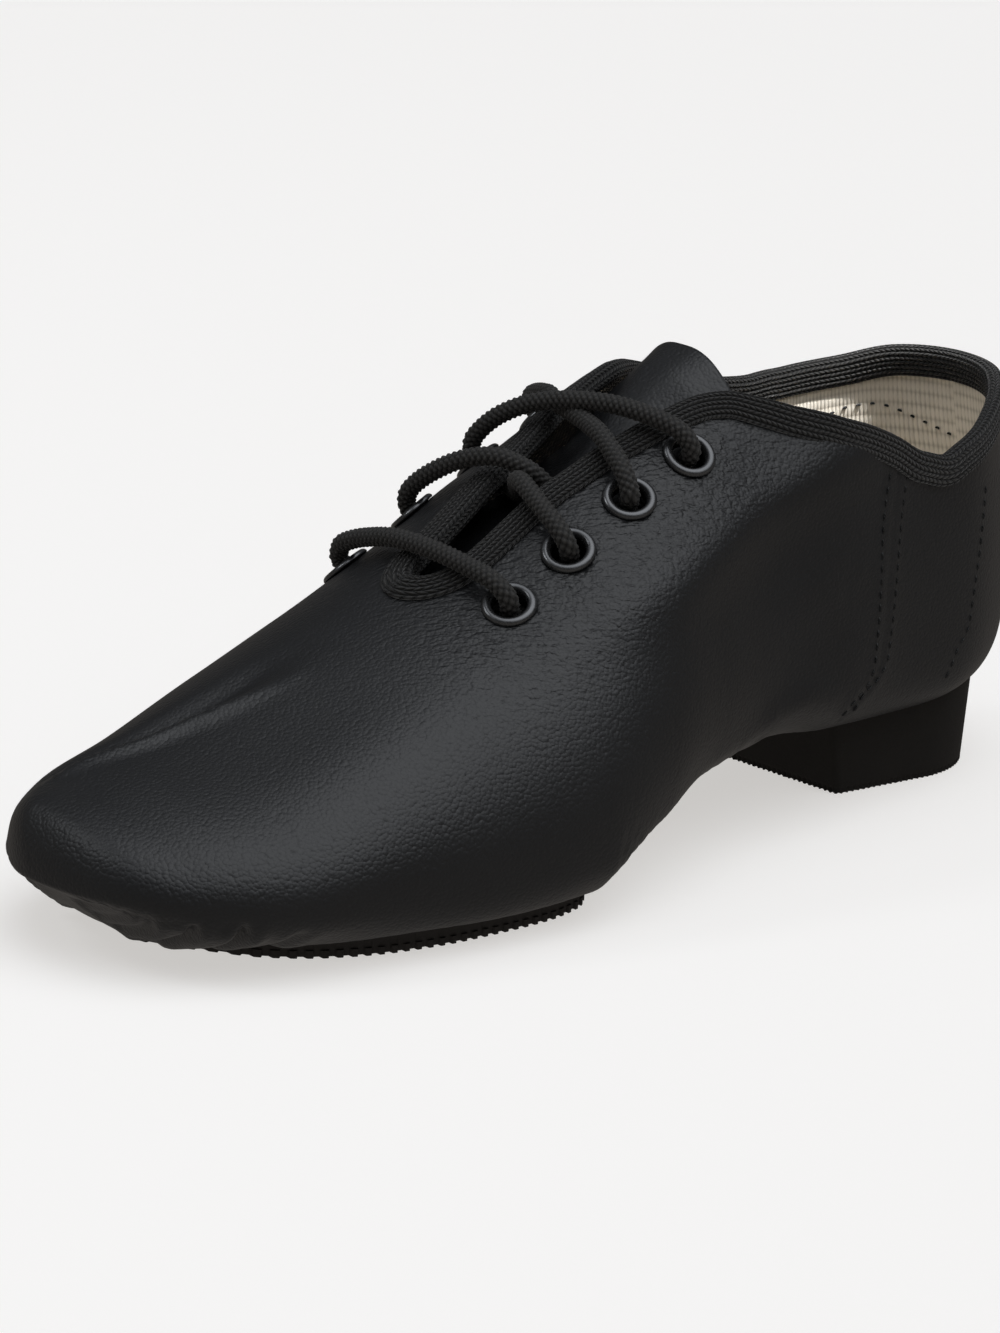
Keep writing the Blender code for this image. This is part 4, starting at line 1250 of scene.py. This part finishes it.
laceOver2 = (
    (0.488, 120.5, 0.2), (0.488, 120.2, 2.2), (0.490, 116, 4.6), (0.499, 106.5, 5.6), (0.512, 95, 5.6),
    (0.528, 83, 5.1), (0.541, 71, 4.4), (0.549, 63.5, 3.9), (0.552, 59.2, 1.7), (0.552, 59, -2.8),
)
laceUnder2 = (
    (0.488, 62, 0.2), (0.488, 62.2, 2.0), (0.493, 67, 3.9), (0.504, 77, 3.9), (0.511, 83.5, 3.0),
    (0.517, 89, 2.8), (0.523, 95, 2.8), (0.530, 101, 4.0), (0.543, 112.5, 4.2), (0.550, 118.4, 4.2),
    (0.552, 121.3, 1.8), (0.552, 121.5, -2.8),
)
laceInsideMedial = ((0.418, 121.8, -5.0), (0.396, 123.2, -5.4), (0.374, 124.8, -5.0))
laceInsideLateral = ((0.374, 62.1, -5.0), (0.396, 62.2, -5.4), (0.418, 62.4, -5.0))


def carriedFrames(path):
    tangents = unit(np.gradient(path, axis=0))
    side = unit(np.cross(tangents[0], (0.0, 0.0, 1.0)))
    sides = [side]
    for tangent in tangents[1:]:
        side = side - tangent * side.dot(tangent)
        side = side / np.linalg.norm(side)
        sides.append(side)
    sides = np.array(sides)
    return tangents, sides, np.cross(tangents, sides)


def makeLace(values):
    rows = laceUnder2[::-1] + laceOver1[::-1] + laceInsideMedial + laceBar
    rows += laceInsideLateral + laceUnder1 + laceOver2
    points = np.array([overSkin(runOf(share), turn, height * mm) for share, turn, height in rows])
    path, travel = smoothRoute(points, values["spacing"])
    tangents, sides, ups = carriedFrames(path)
    angles = np.linspace(0, 2 * math.pi, values["around"], endpoint=False)
    strands = values["strands"]
    first = strands * angles[None, :] / (2 * math.pi) + travel[:, None] / values["cell"]
    second = strands * angles[None, :] / (2 * math.pi) - travel[:, None] / values["cell"]
    parity = (np.floor(first) + np.floor(second)) % 2
    one, two = first % 1, second % 1
    across = np.where(parity == 0, one, two)
    length = np.where(parity == 0, two, one)
    lift = np.sin(math.pi * across) ** 0.7 * (0.45 + 0.55 * np.sin(math.pi * length))
    radius = values["radius"] + values["depth"] * (lift - 0.6)
    taper = np.clip(np.minimum(travel, travel[-1] - travel) / (1.2 * mm), 0.15, 1)[:, None]
    radius = radius * taper
    rings = path[:, None, :] + radius[..., None] * (
        np.cos(angles)[None, :, None] * sides[:, None, :] + np.sin(angles)[None, :, None] * ups[:, None, :])
    print("lace length in metres:", round(float(travel[-1]), 4))
    piece = loftPieceWithMap("braidedLaceCord", rings, travel, angles * values["radius"], closedAlong=False)
    # This strand height also paints shade into the braid's valleys and a highlight onto its crests.
    addMask(piece, "raised", lift.ravel())
    return piece


setPiece(makeLace(laceValues), braid, "braided_lace", "lace_bar", "lace_crossing_1", "lace_crossing_2")
print("lace made")


# Rows of stitches, each row one joined piece of small sunk capsules
leatherStitch = {"height": 0.06 * mm, "length": 1.9 * mm, "pitch": 2.7 * mm, "radius": 0.26 * mm}
canvasStitch = {"height": -1.45 * mm, "length": 1.1 * mm, "pitch": 3.3 * mm, "radius": 0.30 * mm}


def stitchRow(name, rows, material, slot, values):
    length, radius = values["length"], values["radius"]
    points, normals, _ = alongRoute(rows, values["pitch"] / 8, values["height"])
    points = points + normals * relief(points)[:, None]
    count = len(points) // 8
    verts, faces = [], []
    sides = 8
    for index in range(count):
        middle = min(index * 8 + 4, len(points) - 2)
        direction = unit(points[middle + 1] - points[middle - 1])
        normal = normals[middle]
        side = np.cross(direction, normal)
        start = len(verts)
        profile = ((-0.5, 0.15), (-0.42, 0.75), (-0.2, 1.0), (0.2, 1.0), (0.42, 0.75), (0.5, 0.15))
        for place, size in profile:
            sink = -(abs(place) * 2) ** 3 * 0.3 * mm
            for corner in range(sides):
                bend = 2 * math.pi * corner / sides
                verts.append(points[middle] + direction * place * length + normal * sink
                             + radius * size * (side * math.cos(bend) + normal * math.sin(bend)))
        for row in range(len(profile) - 1):
            for corner in range(sides):
                ahead = (corner + 1) % sides
                faces.append([start + row * sides + corner, start + row * sides + ahead,
                              start + (row + 1) * sides + ahead, start + (row + 1) * sides + corner])
        faces.append([start + corner for corner in range(sides)][::-1])
        faces.append([start + (len(profile) - 1) * sides + corner for corner in range(sides)])
    piece = tidyMesh(meshPiece(name, verts, faces), 0.000001)
    return setPiece(piece, material, slot)


counterRows = ((0.893, 10.0), (0.880, 5.0), (0.869, 0.7), (0.852, -4.5), (0.843, -20.0))
leatherRows = (
    ("seamStitchesFront", seamFront), ("seamStitchesBack", seamBack), ("counterStitches", counterRows),
)
for side in ("lateral", "medial"):
    for name, rows in leatherRows:
        sideRows = rows if side == "lateral" else mirrored(rows)
        stitchRow(f"{name}_{side}", sideRows, thread, "upper_leather", leatherStitch)
canvasRow = (
    (0.922, 168.3), (0.945, 167.7), (0.965, 167.6), (0.978, 168.0), (0.990, 168.8), (0.998, 169.6),
    (1.0, 170.0),
)
stitchRow("canvasStitches", canvasRow, thread, "canvas_lining", canvasStitch)
print("stitches made")


# Floor and soft studio light
def addFloor():
    mesh = bpy.data.meshes.new("paleFloor")
    size = 9.0
    corners = [(-size, -size, 0), (size, -size, 0), (size, size, 0), (-size, size, 0)]
    mesh.from_pydata(corners, [], [(0, 1, 2, 3)])
    floor = bpy.data.objects.new("paleFloor", mesh)
    bpy.context.scene.collection.objects.link(floor)
    finish = Finish("paleFloorPaint", Roughness=0.9, Specular_IOR_Level=0.1, Emission_Strength=1.0,
                    Emission_Color=(0.57, 0.555, 0.5375, 1))
    cloud = finish.noise(finish.places(), 1.2, 2.0, 0.5)
    tone = finish.blend(cloud, (0.49, 0.49, 0.49), (0.50, 0.50, 0.50))
    mesh.materials.append(finish.use(Base_Color=tone))
    floor.visible_glossy = False


def placeLight(name, data, place, target):
    light = bpy.data.objects.new(name, data)
    light.location = place
    light.rotation_euler = (Vector(place) - Vector(target)).to_track_quat("Z", "Y").to_euler()
    bpy.context.scene.collection.objects.link(light)
    return light


def addLight(name, place, target, size, power, tint):
    data = bpy.data.lights.new(name, "AREA")
    data.shape = "RECTANGLE"
    data.size, data.size_y = size
    data.energy = power
    data.color = tint
    placeLight(name, data, place, target)


addFloor()


# Room: dim walls and one wide soft panel overhead, so black leather keeps its depth
roomValues = {
    "walls": (
        (0.0, (0.24, 0.223, 0.205)), (0.5, (0.165, 0.150, 0.135)), (0.62, (0.105, 0.102, 0.098)),
        (0.78, (0.075, 0.077, 0.080)), (1.0, (0.30, 0.31, 0.33)),
    ),
    "panel": (0.36, 0.08, 0.93),
    "panelStops": ((0.72, (0.0, 0.0, 0.0)), (0.83, (0.62, 0.64, 0.67)), (0.94, (1.05, 1.08, 1.12))),
    "panelStrength": 1.45,
}


def addRoom(values):
    world = bpy.data.worlds.new("studio")
    world.use_nodes = True
    nodes, links = world.node_tree.nodes, world.node_tree.links
    where = nodes.new("ShaderNodeTexCoord").outputs["Generated"]

    def shade(socket, stops):
        ramp = nodes.new("ShaderNodeValToRGB")
        elements = ramp.color_ramp.elements
        while len(elements) < len(stops):
            elements.new(0.5)
        for element, (place, tone) in zip(elements, stops):
            element.position = place
            element.color = (*tone, 1)
        links.new(socket, ramp.inputs[0])
        return ramp.outputs["Color"]

    parts = nodes.new("ShaderNodeSeparateXYZ")
    links.new(where, parts.inputs[0])
    raised = nodes.new("ShaderNodeMapRange")
    raised.inputs["From Min"].default_value = -1
    links.new(parts.outputs["Z"], raised.inputs["Value"])
    facing = nodes.new("ShaderNodeVectorMath")
    facing.operation = "DOT_PRODUCT"
    links.new(where, facing.inputs[0])
    facing.inputs[1].default_value = Vector(values["panel"]).normalized()
    panel = nodes.new("ShaderNodeBackground")
    links.new(shade(facing.outputs["Value"], values["panelStops"]), panel.inputs["Color"])
    panel.inputs["Strength"].default_value = values["panelStrength"]
    walls = nodes["Background"]
    links.new(shade(raised.outputs["Result"], values["walls"]), walls.inputs["Color"])
    both = nodes.new("ShaderNodeAddShader")
    links.new(walls.outputs[0], both.inputs[0])
    links.new(panel.outputs[0], both.inputs[1])
    links.new(both.outputs[0], nodes["World Output"].inputs["Surface"])
    bpy.context.scene.world = world


addRoom(roomValues)
addLight("left", (-0.6, -0.9, 1.0), (0, -0.05, 0.03), (0.35, 0.35), 2.2, (0.94, 0.97, 1.0))


# A narrow flat beam down into the collar, where the room hardly reaches
def addBeam(name, place, target, power, angle, flatness):
    data = bpy.data.lights.new(name, "SPOT")
    data.energy = power
    data.spot_size = math.radians(angle)
    data.spot_blend = 1.0
    data.shadow_soft_size = 0.02
    light = placeLight(name, data, place, target)
    light.scale = (1.0, flatness, 1.0)


addBeam("collar", (0.22, 0.150, 0.60), (-0.026, 0.094, 0.050), 72.0, 8.5, 0.36)
print("studio made")
